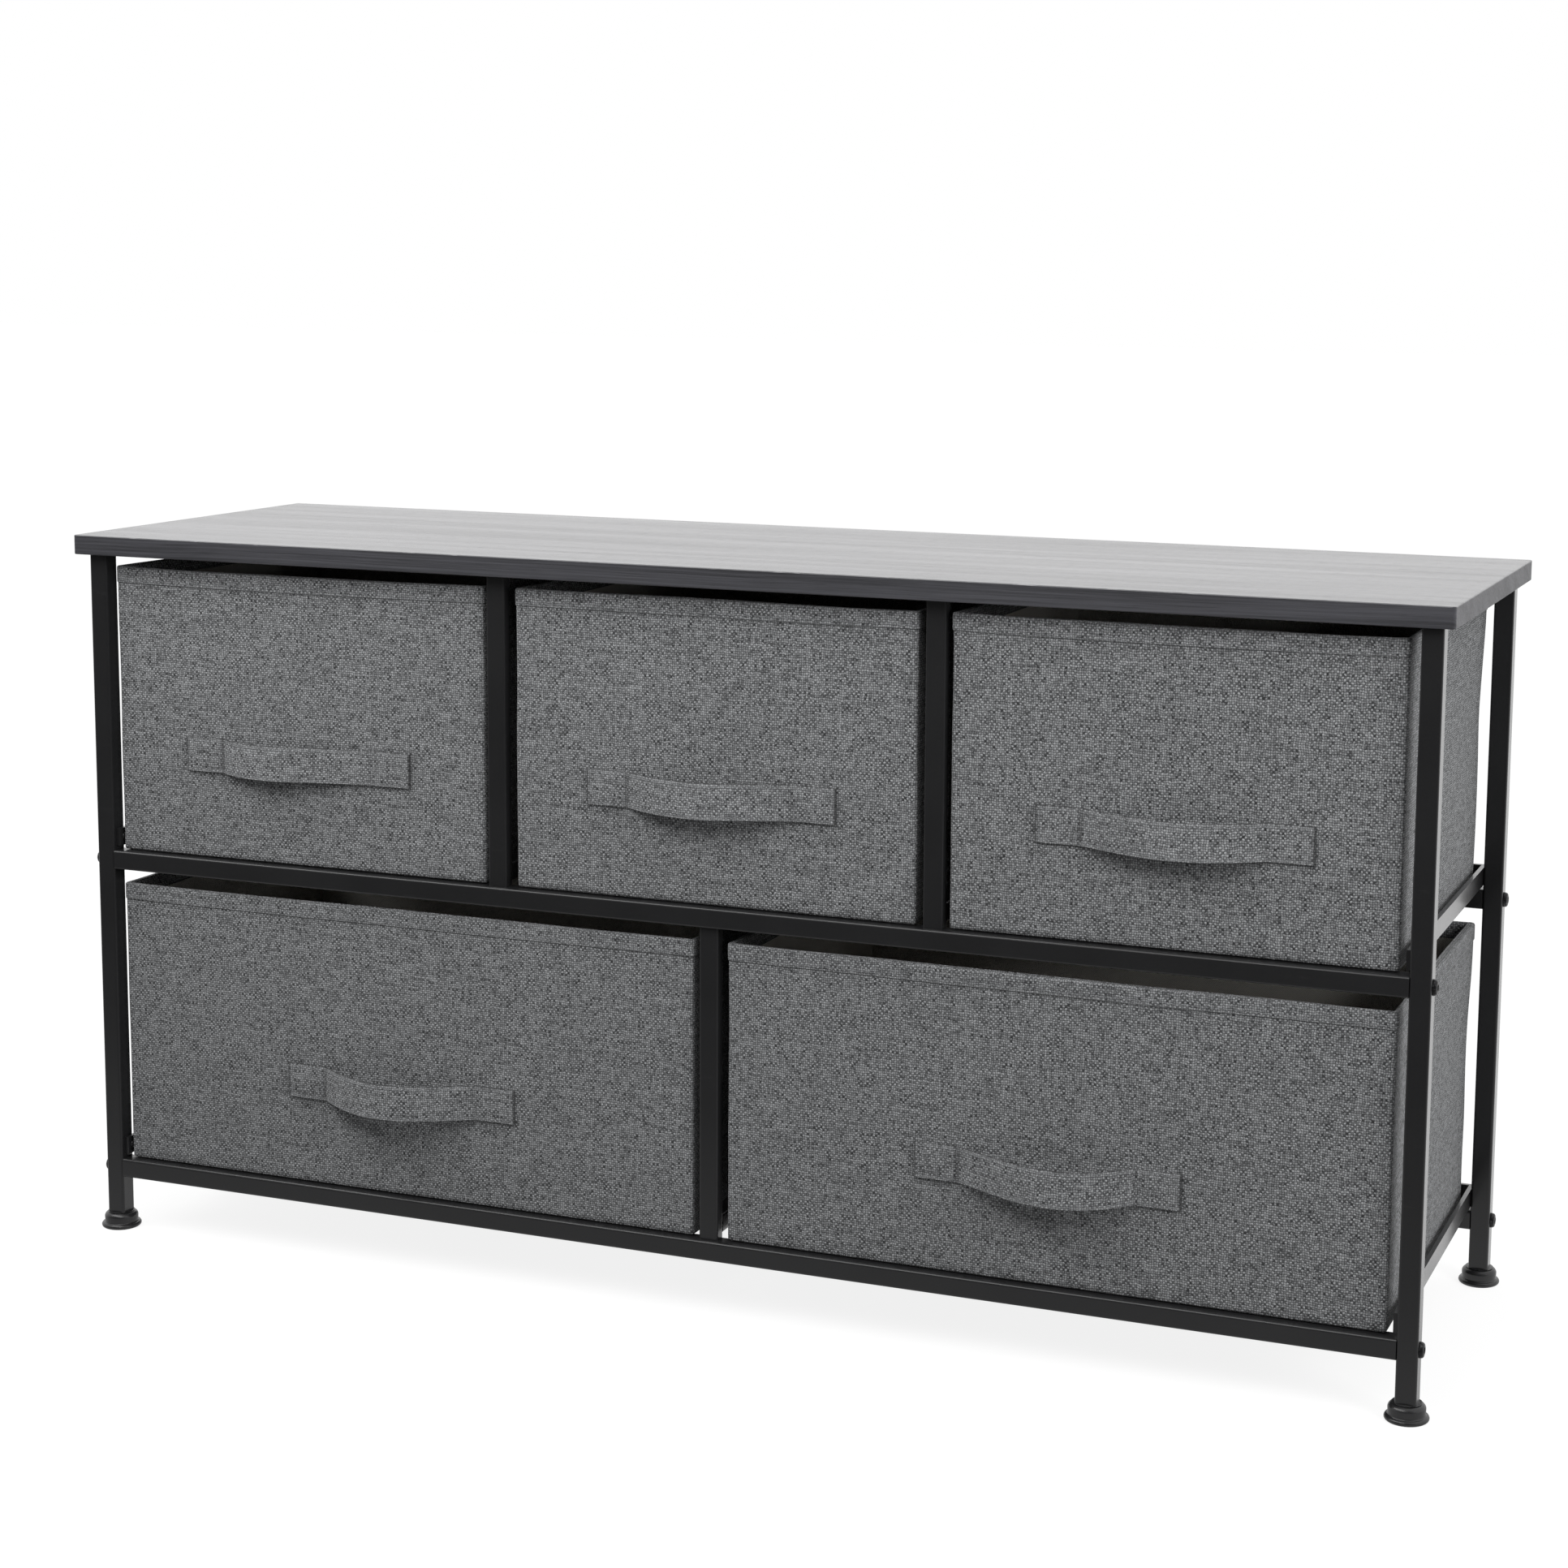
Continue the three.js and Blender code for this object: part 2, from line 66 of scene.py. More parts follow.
# Points of (offset, height) that round a drawer's lower edge
LOWER_EDGE = ((-0.0016, 0.0), (-0.0007, 0.0003), (-0.0001, 0.0011))
MOUTH_ROLL = 0.0014
HEM_SEAM = 0.0022
HEM_THREAD = 0.0006
STRAP_THREAD = 0.00055
STRAP_STEPS = 92
SEAM_WIDTH = 0.0014
SEAM_PINCH = 0.00028
SIDE_BAR_INSET = 0.006
STOP_BAR_INSET = 0.007
# Pale colour mixed in where the cloth is worn, and as a painted highlight along fold edges and seam ridges
WORN_AND_HIGHLIT_CLOTH = (0.44, 0.45, 0.46)
# Near-black colour of the painted shade under the hem and on the straps' edges, ends and folds
PAINTED_SHADE_COLOUR = (0.012, 0.012, 0.013)
# Each lamp's place and aim, its width and height, its power, and whether shiny parts mirror it
LAMPS = {
    "front_softbox": ((-0.42, -0.80, 1.16), (-0.05, -0.135, 0.40), (1.9, 0.6), 13.2, True),
    "side_softbox": ((1.60, -0.66, 0.84), (0.48, 0.0, 0.33), (0.6, 0.6), 11.2, False),
}
UP = Vector((0, 0, 1))
QUARTER = math.pi / 2
CLOTH_MAP = "cloth"
# Attribute of real wear and of painted highlight on the cloth
WEAR_AND_HIGHLIGHT = "wear_and_highlight"
# Attribute of painted shade on the cloth
SHADED = "shaded"


def length_setting(name, description, default, **limits):
    """A size that a user can change."""
    return bpy.props.FloatProperty(
        name=name, description=description, default=default, unit="LENGTH", **limits
    )


def colour_setting(name, description, default):
    """A colour that a user can change."""
    return bpy.props.FloatVectorProperty(
        name=name, description=description, default=default, size=3, subtype="COLOR"
    )


class ClothSettings(bpy.types.PropertyGroup):
    """The grey linen-look cloth and how the drawers are sewn from it"""

    thread_pitch: length_setting(
        "Thread Pitch", "Distance from one thread of the weave to the next", 0.0016, min=0.0005, max=0.004
    )
    light_thread: colour_setting("Light Thread", "Colour of the palest threads", (0.392, 0.400, 0.409))
    dark_thread: colour_setting("Dark Thread", "Colour of the darkest threads", (0.026, 0.027, 0.0285))
    hem_height: length_setting("Hem Height", "Height of the folded band round a drawer's mouth", 0.012)
    hem_thickness: length_setting("Hem Thickness", "How far the hem stands proud of the wall", 0.0007)
    fold_depth: length_setting("Inside Fold", "How far the outer cloth turns down inside the drawer", 0.0125)
    wall: length_setting("Wall", "Thickness of a drawer's covered board", 0.003)
    corner_radius: length_setting("Corner Radius", "Radius of a drawer's upright corners", 0.0025)
    side_swell: length_setting("Side Swell", "How far the side walls bow outwards at their middle", 0.0015)
    stitch_length: length_setting("Stitch Length", "Length of one visible stitch", 0.0028)
    stitch_pitch: length_setting("Stitch Pitch", "Distance from one stitch to the next", 0.0038)


class StrapSettings(bpy.types.PropertyGroup):
    """The pull straps, sewn flat at both ends and bowed out between"""

    height: length_setting("Height", "Height of the strap's band", 0.025)
    thickness: length_setting("Thickness", "Thickness of the doubled cloth", 0.002)
    patch: length_setting("Patch", "Length sewn flat at each end", 0.031)
    peaks: bpy.props.FloatVectorProperty(
        name="Peaks",
        description="Where each strap stands out furthest, as a share of its bow from the left",
        default=(0.32, 0.42, 0.54, 0.46, 0.58),
        size=5,
    )
    seam_inset: length_setting("Seam Inset", "Distance of the edge seams from the strap's edges", 0.0024)


class HardwareSettings(bpy.types.PropertyGroup):
    """The steel frame, its bolts and rivets, and the feet"""

    powder_colour: colour_setting("Powder Coat", "Colour of the satin black coat", (0.0085, 0.0085, 0.009))
    plastic_colour: colour_setting("Feet", "Colour of the moulded feet", (0.010, 0.010, 0.0105))
    rivet_diameter: length_setting("Rivet Diameter", "Diameter of the rivets at the bars' ends", 0.005)


class BoardSettings(bpy.types.PropertyGroup):
    """The laminated top board"""

    grain_dark: colour_setting("Dark Grain", "Colour of the darkest grain lines", (0.018, 0.018, 0.0205))
    grain_light: colour_setting("Light Grain", "Colour of the palest grain lines", (0.074, 0.074, 0.084))


class StageSettings(bpy.types.PropertyGroup):
    """The camera and the studio"""

    lens: bpy.props.FloatProperty(
        name="Lens",
        description="Focal length of the camera",
        default=67.053,
        min=10,
        subtype="DISTANCE_CAMERA",
    )
    eye: bpy.props.FloatVectorProperty(
        name="Eye",
        description="Place of the camera",
        default=(0.80217, -1.90301, 0.73227),
        size=3,
        subtype="TRANSLATION",
    )
    turn: bpy.props.FloatVectorProperty(
        name="Turn",
        description="Yaw, pitch and roll of the camera",
        default=(math.radians(21.048), math.radians(-8.106), math.radians(0.539)),
        size=3,
        subtype="EULER",
    )
    shift: bpy.props.FloatVectorProperty(
        name="Shift",
        description="Sideways and upward shift of the lens",
        default=(-0.059, -0.0756),
        size=2,
    )
    room_light: bpy.props.FloatProperty(
        name="Room Light",
        description="Strength of the light from the room behind and beside the object",
        default=1.0,
        min=0,
    )


SETTINGS = {
    "dresser_cloth": ClothSettings,
    "dresser_strap": StrapSettings,
    "dresser_hardware": HardwareSettings,
    "dresser_board": BoardSettings,
    "dresser_stage": StageSettings,
}


class Value:
    """A shader socket that can be written into sums and products."""

    def __init__(self, finish, socket):
        self.finish = finish
        self.socket = socket

    def __add__(self, other):
        return self.finish.maths("ADD", self, other)

    def __radd__(self, other):
        return self.finish.maths("ADD", other, self)

    def __sub__(self, other):
        return self.finish.maths("SUBTRACT", self, other)

    def __rsub__(self, other):
        return self.finish.maths("SUBTRACT", other, self)

    def __mul__(self, other):
        return self.finish.maths("MULTIPLY", self, other)

    def __rmul__(self, other):
        return self.finish.maths("MULTIPLY", other, self)

    def __truediv__(self, other):
        return self.finish.maths("DIVIDE", self, other)

    def __pow__(self, other):
        return self.finish.maths("POWER", self, other)


class Finish:
    """A material and the few ways in which its nodes are made."""

    def __init__(self, owner):
        owner.use_nodes = True
        self.owner = owner
        self.tree = owner.node_tree
        self.tree.nodes.clear()

    def node(self, kind, settings=None, inputs=None):
        made = self.tree.nodes.new(kind)
        for name, setting in (settings or {}).items():
            setattr(made, name, setting)
        for name, given in (inputs or {}).items():
            if isinstance(given, Value):
                self.tree.links.new(given.socket, made.inputs[name])
            else:
                made.inputs[name].default_value = given
        return made

    def maths(self, operation, *values):
        made = self.node("ShaderNodeMath", {"operation": operation}, dict(enumerate(values)))
        return Value(self, made.outputs[0])

    def clamp(self, value):
        made = self.node("ShaderNodeClamp", None, {"Value": value})
        return Value(self, made.outputs[0])

    def smooth(self, value, low, high):
        """0 below low, 1 above high and an easy slope between."""
        inputs = {"Value": value, "From Min": low, "From Max": high}
        made = self.node("ShaderNodeMapRange", {"interpolation_type": "SMOOTHSTEP"}, inputs)
        return Value(self, made.outputs[0])

    def parts(self, vector):
        made = self.node("ShaderNodeSeparateXYZ", None, {0: vector})
        return [Value(self, socket) for socket in made.outputs]

    def vector(self, x, y, z=0.0):
        made = self.node("ShaderNodeCombineXYZ", None, {0: x, 1: y, 2: z})
        return Value(self, made.outputs[0])

    def place(self):
        made = self.node("ShaderNodeTexCoord")
        return Value(self, made.outputs["Object"])

    def cloth_place(self):
        made = self.node("ShaderNodeUVMap", {"uv_map": CLOTH_MAP})
        return Value(self, made.outputs[0])

    def attribute(self, name):
        made = self.node("ShaderNodeAttribute", {"attribute_name": name})
        return Value(self, made.outputs["Fac"])

    def clouds(self, vector, scale=1.0, detail=2.0, roughness=0.5):
        inputs = {"Vector": vector, "Scale": scale, "Detail": detail, "Roughness": roughness}
        made = self.node("ShaderNodeTexNoise", None, inputs)
        return Value(self, made.outputs[0])

    def streaks(self, x, y, z=0.0, detail=2.0, roughness=0.5):
        """Clouds that are stretched by what each axis was multiplied by."""
        return self.clouds(self.vector(x, y, z), 1.0, detail, roughness)

    def mix(self, factor, first, second):
        """A colour between two others."""
        inputs = {0: factor, 6: self.colour(first), 7: self.colour(second)}
        made = self.node("ShaderNodeMix", {"data_type": "RGBA"}, inputs)
        return Value(self, made.outputs[2])

    def colour(self, given):
        return given if isinstance(given, Value) else (*given, 1)

    def bump(self, height, strength, distance):
        inputs = {"Height": height, "Strength": strength, "Distance": distance}
        made = self.node("ShaderNodeBump", None, inputs)
        return Value(self, made.outputs[0])

    def blend(self, factor, first, second):
        """A shader between two others."""
        inputs = {0: factor, 1: Value(self, first.outputs[0]), 2: Value(self, second.outputs[0])}
        return self.node("ShaderNodeMixShader", None, inputs)

    def surface(self, **inputs):
        """The shader itself, with words joined by _ for the names of its sockets."""
        named = {name.replace("_", " "): given for name, given in inputs.items()}
        shader = self.node("ShaderNodeBsdfPrincipled", None, named)
        shown = Value(self, shader.outputs[0])
        self.node("ShaderNodeOutputMaterial", None, {"Surface": shown})
        return self.owner


def new_finish(name):
    return Finish(bpy.data.materials.new(name))


def cloth_finish(name, brighter, settings):
    """Grey linen-look cloth in plain weave: dark threads upwards, pale slubbed threads across."""
    finish = new_finish(name)
    across, up, _ = finish.parts(finish.cloth_place())
    pitch = settings.thread_pitch
    wander = 2.2
    warp = across / pitch + finish.streaks(across * 60, up * 160, 0.0, 4.0, 0.65) * wander
    weft = up / pitch + finish.streaks(across * 160, up * 60, 3.0, 4.0, 0.65) * wander
    warp_number = finish.maths("FLOOR", warp)
    weft_number = finish.maths("FLOOR", weft)
    warp_round = finish.maths("SINE", warp * math.pi)
    weft_round = finish.maths("SINE", weft * math.pi)
    over = finish.smooth(warp_round * weft_round, -0.10, 0.10)
    warp_round = finish.maths("ABSOLUTE", warp_round)
    weft_round = finish.maths("ABSOLUTE", weft_round)
    upright = warp_round**1.1 * weft_round**0.4
    level = warp_round**0.4 * weft_round**1.1
    height = upright * over + level * (1 - over)
    warp_tone = finish.streaks(warp_number * 7.31, up * 75, detail=1.0)
    weft_tone = finish.streaks(across * 55, weft_number * 5.17, 9.0, 1.0)
    spot = finish.streaks(warp_number * 3.7, weft_number * 4.3, 4.0, 0.0)
    slub = finish.smooth(finish.streaks(across * 26, weft_number * 3.7, 21.0), 0.58, 0.72)
    dark = 0.26 + 0.26 * finish.smooth(warp_tone, 0.32, 0.70)
    pale = 0.58 + 0.30 * finish.smooth(weft_tone, 0.30, 0.70) + slub * 0.34
    tone = dark * over + pale * (1 - over) + (finish.smooth(spot, 0.25, 0.75) - 0.5) * 0.56
    fuzz = finish.streaks(across * 360, up * 420, 7.0, 3.0, 0.75) - 0.5
    cloudy = finish.streaks(across * 70, up * 210, 5.0, 3.0) - 0.5
    # Painted shade: the colour darkens where the threads dip into the weave's gaps
    tone = finish.clamp(tone * (0.12 + height * 1.16) + fuzz * 0.90 + cloudy * 0.30)
    light = tuple(channel * brighter for channel in settings.light_thread)
    colour = finish.mix(tone, settings.dark_thread, light)
    # Paler where worn at corners and mouth; a painted highlight along the hem's fold edge and the straps'
    # seam ridges
    wear_and_highlight = finish.attribute(WEAR_AND_HIGHLIGHT)
    colour = finish.mix(wear_and_highlight * 0.45 * (0.4 + height * 0.6), colour, WORN_AND_HIGHLIT_CLOTH)
    # Painted shade: darker under the hem, on the straps' edges and ends and at their folds
    shaded = finish.attribute(SHADED)
    colour = finish.mix(shaded * 0.8, colour, PAINTED_SHADE_COLOUR)
    relief = height * 0.8 + tone * 0.4
    return finish.surface(
        Base_Color=colour,
        Roughness=finish.clamp(0.98 - height * 0.10 - wear_and_highlight * 0.08),
        Sheen_Weight=0.10,
        Sheen_Roughness=0.6,
        Normal=finish.bump(relief, 0.6, 0.0004),
    )


def thread_finish():
    """Twisted sewing thread."""
    finish = new_finish("sewing_thread")
    x, y, z = finish.parts(finish.place())
    twist = finish.maths("SINE", (x + y) * 5200 + z * 4200) * 0.5 + 0.5
    fuzz = finish.clouds(finish.place(), 3500, 2.0)
    tone = finish.clamp(twist * 0.6 + fuzz * 0.4)
    colour = finish.mix(tone, (0.10, 0.10, 0.105), (0.34, 0.35, 0.36))
    relief = finish.bump(twist + fuzz * 0.4, 0.5, 0.00015)
    return finish.surface(Base_Color=colour, Roughness=0.75 + fuzz * 0.2, Normal=relief)


def lining_finish():
    """Pale non-woven lining, pressed with fine slanting ribs."""
    finish = new_finish("pale_lining")
    across, up, _ = finish.parts(finish.cloth_place())
    rib = finish.maths("SINE", (across + up) * 3900) * 0.5 + 0.5
    notch = finish.maths("SINE", (across - up) * 2300) * 0.5 + 0.5
    press = finish.smooth(rib * (0.6 + notch * 0.4), 0.15, 0.55)
    fibres = finish.streaks(across * 900, up * 2600, detail=3.0)
    creases = finish.streaks(across * 14, up * 14, detail=3.0)
    tone = finish.clamp(0.10 + press * 0.38 + fibres * 0.50 + creases * 0.24)
    colour = finish.mix(tone, (0.30, 0.286, 0.259), (0.60, 0.580, 0.538))
    relief = press * 0.7 + fibres * 0.35 + creases * 1.5
    return finish.surface(
        Base_Color=colour,
        Roughness=finish.clamp(0.66 + fibres * 0.3),
        Normal=finish.bump(relief, 0.6, 0.0004),
    )


def powder_finish(settings):
    """Satin black powder coat with a fine orange-peel skin."""
    finish = new_finish("black_powder_coat")
    place = finish.place()
    x, y, z = finish.parts(place)
    skin = finish.clouds(place, 950, 3.0)
    patches = finish.clouds(place, 16, 4.0)
    scuffs = finish.smooth(finish.streaks(x * 30, y * 420, z * 140, 4.0, 0.6), 0.64, 0.78)
    pale = tuple(channel * 2.3 + 0.004 for channel in settings.powder_colour)
    shade = finish.clamp(patches * 0.5 + skin * 0.3 + scuffs * 0.3)
    return finish.surface(
        Base_Color=finish.mix(shade, settings.powder_colour, pale),
        Roughness=finish.clamp(0.26 + patches * 0.10 + skin * 0.05 + scuffs * 0.10),
        IOR=1.34,
        Coat_Weight=0.8,
        Coat_Roughness=0.14,
        Coat_IOR=1.34,
        Normal=finish.bump(skin, 0.16, 0.00025),
    )


def bolt_finish():
    """Blackened steel, a little worn on its high spots."""
    finish = new_finish("blackened_bolt_steel")
    place = finish.place()
    wear = finish.smooth(finish.clouds(place, 520, 4.0, 0.6), 0.48, 0.72)
    grain = finish.clouds(place, 2600, 2.0)
    return finish.surface(
        Base_Color=finish.mix(wear, (0.018, 0.018, 0.019), (0.09, 0.09, 0.092)),
        Metallic=0.75,
        Roughness=finish.clamp(0.28 + grain * 0.14 + wear * 0.08),
        Normal=finish.bump(grain, 0.15, 0.0001),
    )


def plastic_finish(settings):
    """Moulded black plastic, glossy with a faint scuffed haze."""
    finish = new_finish("black_foot_plastic")
    place = finish.place()
    haze = finish.clouds(place, 130, 4.0, 0.6)
    grain = finish.clouds(place, 1900, 2.0)
    pale = tuple(channel * 2.6 for channel in settings.plastic_colour)
    return finish.surface(
        Base_Color=finish.mix(haze, settings.plastic_colour, pale),
        Roughness=finish.clamp(0.17 + haze * 0.16),
        Normal=finish.bump(grain + haze * 2, 0.12, 0.0002),
    )


def board_finish(settings, top, front):
    """Dark wood-grain laminate: fine lines along the board, broader cathedral bands and small pores."""
    finish = new_finish("dark_grain_laminate")
    x, y, z = finish.parts(finish.place())
    bend = finish.streaks(x * 3.1, y * 7, z * 7)
    side = y + z * 1.3 + bend * 0.016
    lines = finish.streaks(x * 5.5, side * 520, z * 300, 4.0, 0.62)
    fine = finish.streaks(x * 26, side * 1500, z * 1100, 3.0, 0.6)
    bands = finish.streaks(x * 1.7, side * 46, z * 40, 3.0)
    pores = finish.smooth(finish.streaks(x * 85, side * 2300, z * 1500), 0.60, 0.72)
    tone = finish.smooth(lines * 0.50 + fine * 0.28 + bands * 0.30, 0.36, 0.74)
    tone = finish.clamp(tone - pores * 0.30)
    colour = finish.mix(tone, settings.grain_dark, settings.grain_light)
    near_top = finish.smooth(z, top - 0.0010, top - 0.0002)
    near_front = 1 - finish.smooth(y, front + 0.0002, front + 0.0014)
    chips = finish.smooth(finish.streaks(x * 60, y * 900, z * 900, 4.0, 0.65), 0.57, 0.66)
    chips = chips * near_top * near_front
    colour = finish.mix(chips * 0.7, colour, (0.36, 0.36, 0.37))
    gloss = 0.24 + fine * 0.12 + pores * 0.10 + (1 - tone) * 0.06 + chips * 0.3
    relief = tone * 0.6 + fine * 0.25 - pores * 0.5
    return finish.surface(
        Base_Color=colour,
        Roughness=finish.clamp(gloss + (1 - near_top) * 0.12),
        Coat_Weight=near_top * finish.clamp(0.79 - pores * 0.35 - (1 - tone) * 0.26),
        Coat_Roughness=0.17,
        Normal=finish.bump(relief, 0.22, 0.00025),
    )


def make_finish(name, maker, *given):
    """The named material, made when it is first asked for."""
    return bpy.data.materials.get(name) or maker(*given)


def mesh_from(bm, name):
    mesh = bpy.data.meshes.new(name)
    bm.to_mesh(mesh)
    bm.free()
    return mesh


def put_in_scene(name, data):
    made = bpy.data.objects.new(name, data)
    bpy.context.scene.collection.objects.link(made)
    return made


def finish_piece(bm, name, finish, body, replaced=(), smooth_angle=40.0):
    """Turns a bmesh into a piece of the object that rides on a body."""
    mesh = mesh_from(bm, name)
    mesh.materials.append(finish)
    mesh.polygons.foreach_set("use_smooth", [True] * len(mesh.polygons))
    mesh.set_sharp_from_angle(angle=math.radians(smooth_angle))
    piece = put_in_scene(name, mesh)
    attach(piece, body)
    if replaced:
        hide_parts(*replaced)


def dress_node(node, finish):
    """Gives a CAD piece its finish."""
    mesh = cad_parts[node].data
    mesh.materials.clear()
    mesh.materials.append(finish)


def nodes_that_start(*starts):
    return [name for name in sorted(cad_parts) if name.startswith(starts)]


def new_parts(made):
    """The points and the open edges that an extrusion made."""
    verts = [item for item in made["geom"] if isinstance(item, bmesh.types.BMVert)]
    known = set(verts)
    edges = [item for item in made["geom"] if isinstance(item, bmesh.types.BMEdge)]
    return verts, [edge for edge in edges if known.issuperset(edge.verts)]


def round_off(bm, geom, radius, segments, affect="EDGES"):
    bmesh.ops.bevel(
        bm, geom=geom, offset=radius, segments=segments, profile=0.5, affect=affect, material=-1
    )


def round_rectangle(bm, width, depth, radius, segments):
    """A flat rectangle with round corners, its middle at the origin."""
    corners = bmesh.ops.create_grid(bm, x_segments=1, y_segments=1, size=0.5)["verts"]
    bmesh.ops.scale(bm, vec=(width, depth, 1), verts=corners)
    round_off(bm, corners, radius, segments, "VERTICES")


def facing(across, deep, up, place):
    """The placement whose three axes point these ways."""
    return Matrix.Translation(place) @ Matrix((across, deep, up)).transposed().to_4x4()


def limit(value, low=0.0, high=1.0):
    return min(max(value, low), high)


def ease(value, low, high):
    """0 below low, 1 above high and an easy slope between."""
    share = limit((value - low) / (high - low))
    return share * share * (3 - 2 * share)


def near_line(distance, inner, outer):
    """1 on a line, out to an inner distance, and 0 from an outer one."""
    return 1 - ease(abs(distance), inner, outer)


def steps_between(low, high, count):
    return [low + (high - low) * step / count for step in range(1, count)]


def even_steps(run, pitch):
    """As many steps as fit in a run, with their middle at zero."""
    count = int(run / pitch)
    return [(number - (count - 1) / 2) * pitch for number in range(count)]


def map_cloth(bm, shift):
    """Turns the faces outwards and lays the weave on each, along the two axes that lie most in it."""
    bmesh.ops.recalc_face_normals(bm, faces=bm.faces)
    layer = bm.loops.layers.uv.new(CLOTH_MAP)
    bm.normal_update()
    for face in bm.faces:
        along = max(range(3), key=lambda axis: abs(face.normal[axis]))
        first, second = ((1, 2), (0, 2), (0, 1))[along]
        for loop in face.loops:
            place = loop.vert.co
            loop[layer].uv = (place[first] + shift, place[second] + shift * 0.37)
    return bm


class DrawerForm:
    """The outline of one cloth drawer, and how its walls swell and wave."""

    ring_step = 0.009
    corner_segments = 6
    flare = 0.0022
    front_swell = 0.0004
    wave = 0.0007
    ripple = 0.00018
    mouth_wave = 0.0009
    mouth_dip = 0.0011

    def __init__(self, drawer, cloth):
        self.body = "drawer_" + drawer
        low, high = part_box(self.body + "_bin")
        left, right = WALL_REACH[drawer]
        self.seed = DRAWERS.index(drawer) + 1.0
        self.radius = cloth.corner_radius
        self.side_swell = cloth.side_swell
        self.half_x = (high.x - low.x + left + right) / 2 - cloth.side_swell
        self.half_y = (high.y - low.y) / 2 - cloth.hem_thickness
        self.centre = Vector(((low.x + high.x + right - left) / 2, (low.y + high.y) / 2, low.z))
        self.height = high.z - low.z

    def noise_at(self, place, flat, upright, shift):
        """Smooth noise from -1 to 1 that differs from drawer to drawer."""
        return noise.noise(Vector((place.x * flat, place.y * flat, place.z * upright + self.seed * shift)))

    def split(self, place):
        """The nearest point of the outline's inner rectangle, and the way outwards from it."""
        x = place.x - self.centre.x
        y = place.y - self.centre.y
        inner_x = self.half_x - self.radius
        inner_y = self.half_y - self.radius
        nearest = Vector((limit(x, -inner_x, inner_x), limit(y, -inner_y, inner_y)))
        out = Vector((x, y)) - nearest
        return nearest, out.normalized()

    def set_ring(self, verts, offset, height):
        for vert in verts:
            nearest, out = self.split(vert.co)
            flat = nearest + out * (self.radius + offset)
            vert.co = Vector((self.centre.x + flat.x, self.centre.y + flat.y, self.centre.z + height))

    def shell(self, levels):
        """A skin that starts as the drawer's outline, with its sides in short steps, rises through
        levels of (offset, height) and is closed after the last."""
        bm = bmesh.new()
        round_rectangle(bm, 2 * self.half_x, 2 * self.half_y, self.radius, self.corner_segments)
        for edge in [edge for edge in bm.edges if edge.calc_length() > self.ring_step]:
            bmesh.ops.subdivide_edges(bm, edges=[edge], cuts=int(edge.calc_length() / self.ring_step))
        bmesh.ops.translate(bm, vec=self.centre, verts=bm.verts)
        verts, edges = list(bm.verts), list(bm.edges)
        self.set_ring(verts, *levels[0])
        for offset, height in levels[1:]:
            verts, edges = new_parts(bmesh.ops.extrude_edge_only(bm, edges=edges))
            self.set_ring(verts, offset, height)
        bmesh.ops.contextual_create(bm, geom=edges)
        return bm

    def outward(self, place):
        """How far the cloth stands out of its outline at a place on the wall, and which way."""
        _, out = self.split(place)
        up = limit((place.z - self.centre.z) / self.height)
        along_y = limit((place.y - self.centre.y) / self.half_y, -1.0)
        along_x = limit((place.x - self.centre.x) / self.half_x, -1.0)
        held = ease(up, 0.0, 0.12)
        side = abs(out.x) ** 2
        swell = self.side_swell * math.sin(math.pi * up) * (1 - along_y * along_y) * side
        flare = self.flare * ease(up, 0.55, 1.0) * ease(along_y, -0.95, 0.6) * side
        face = abs(out.y) ** 2 * (1 - along_x * along_x)
        front = self.front_swell * math.sin(math.pi * up) * face
        wave = self.noise_at(place, 13, 15, 9.1) * self.wave
        ripple = self.noise_at(place, 46, 30, 4.7) * self.ripple
        return out, held * (swell + flare + front + wave + ripple)

    def settle(self, bm):
        """Waves in the walls, and a mouth that dips a little between its corners."""
        for vert in bm.verts:
            out, amount = self.outward(vert.co)
            up = (vert.co.z - self.centre.z) / self.height
            along_x = (vert.co.x - self.centre.x) / self.half_x
            along_y = (vert.co.y - self.centre.y) / self.half_y
            dip = (1 - along_x**2) * abs(out.y) + (1 - along_y**2) * abs(out.x)
            lift = self.noise_at(vert.co, 11, 0, 3.3)
            vert.co.x += out.x * amount
            vert.co.y += out.y * amount
            vert.co.z += (lift * self.mouth_wave - self.mouth_dip * dip) * ease(up, 0.80, 1.0)


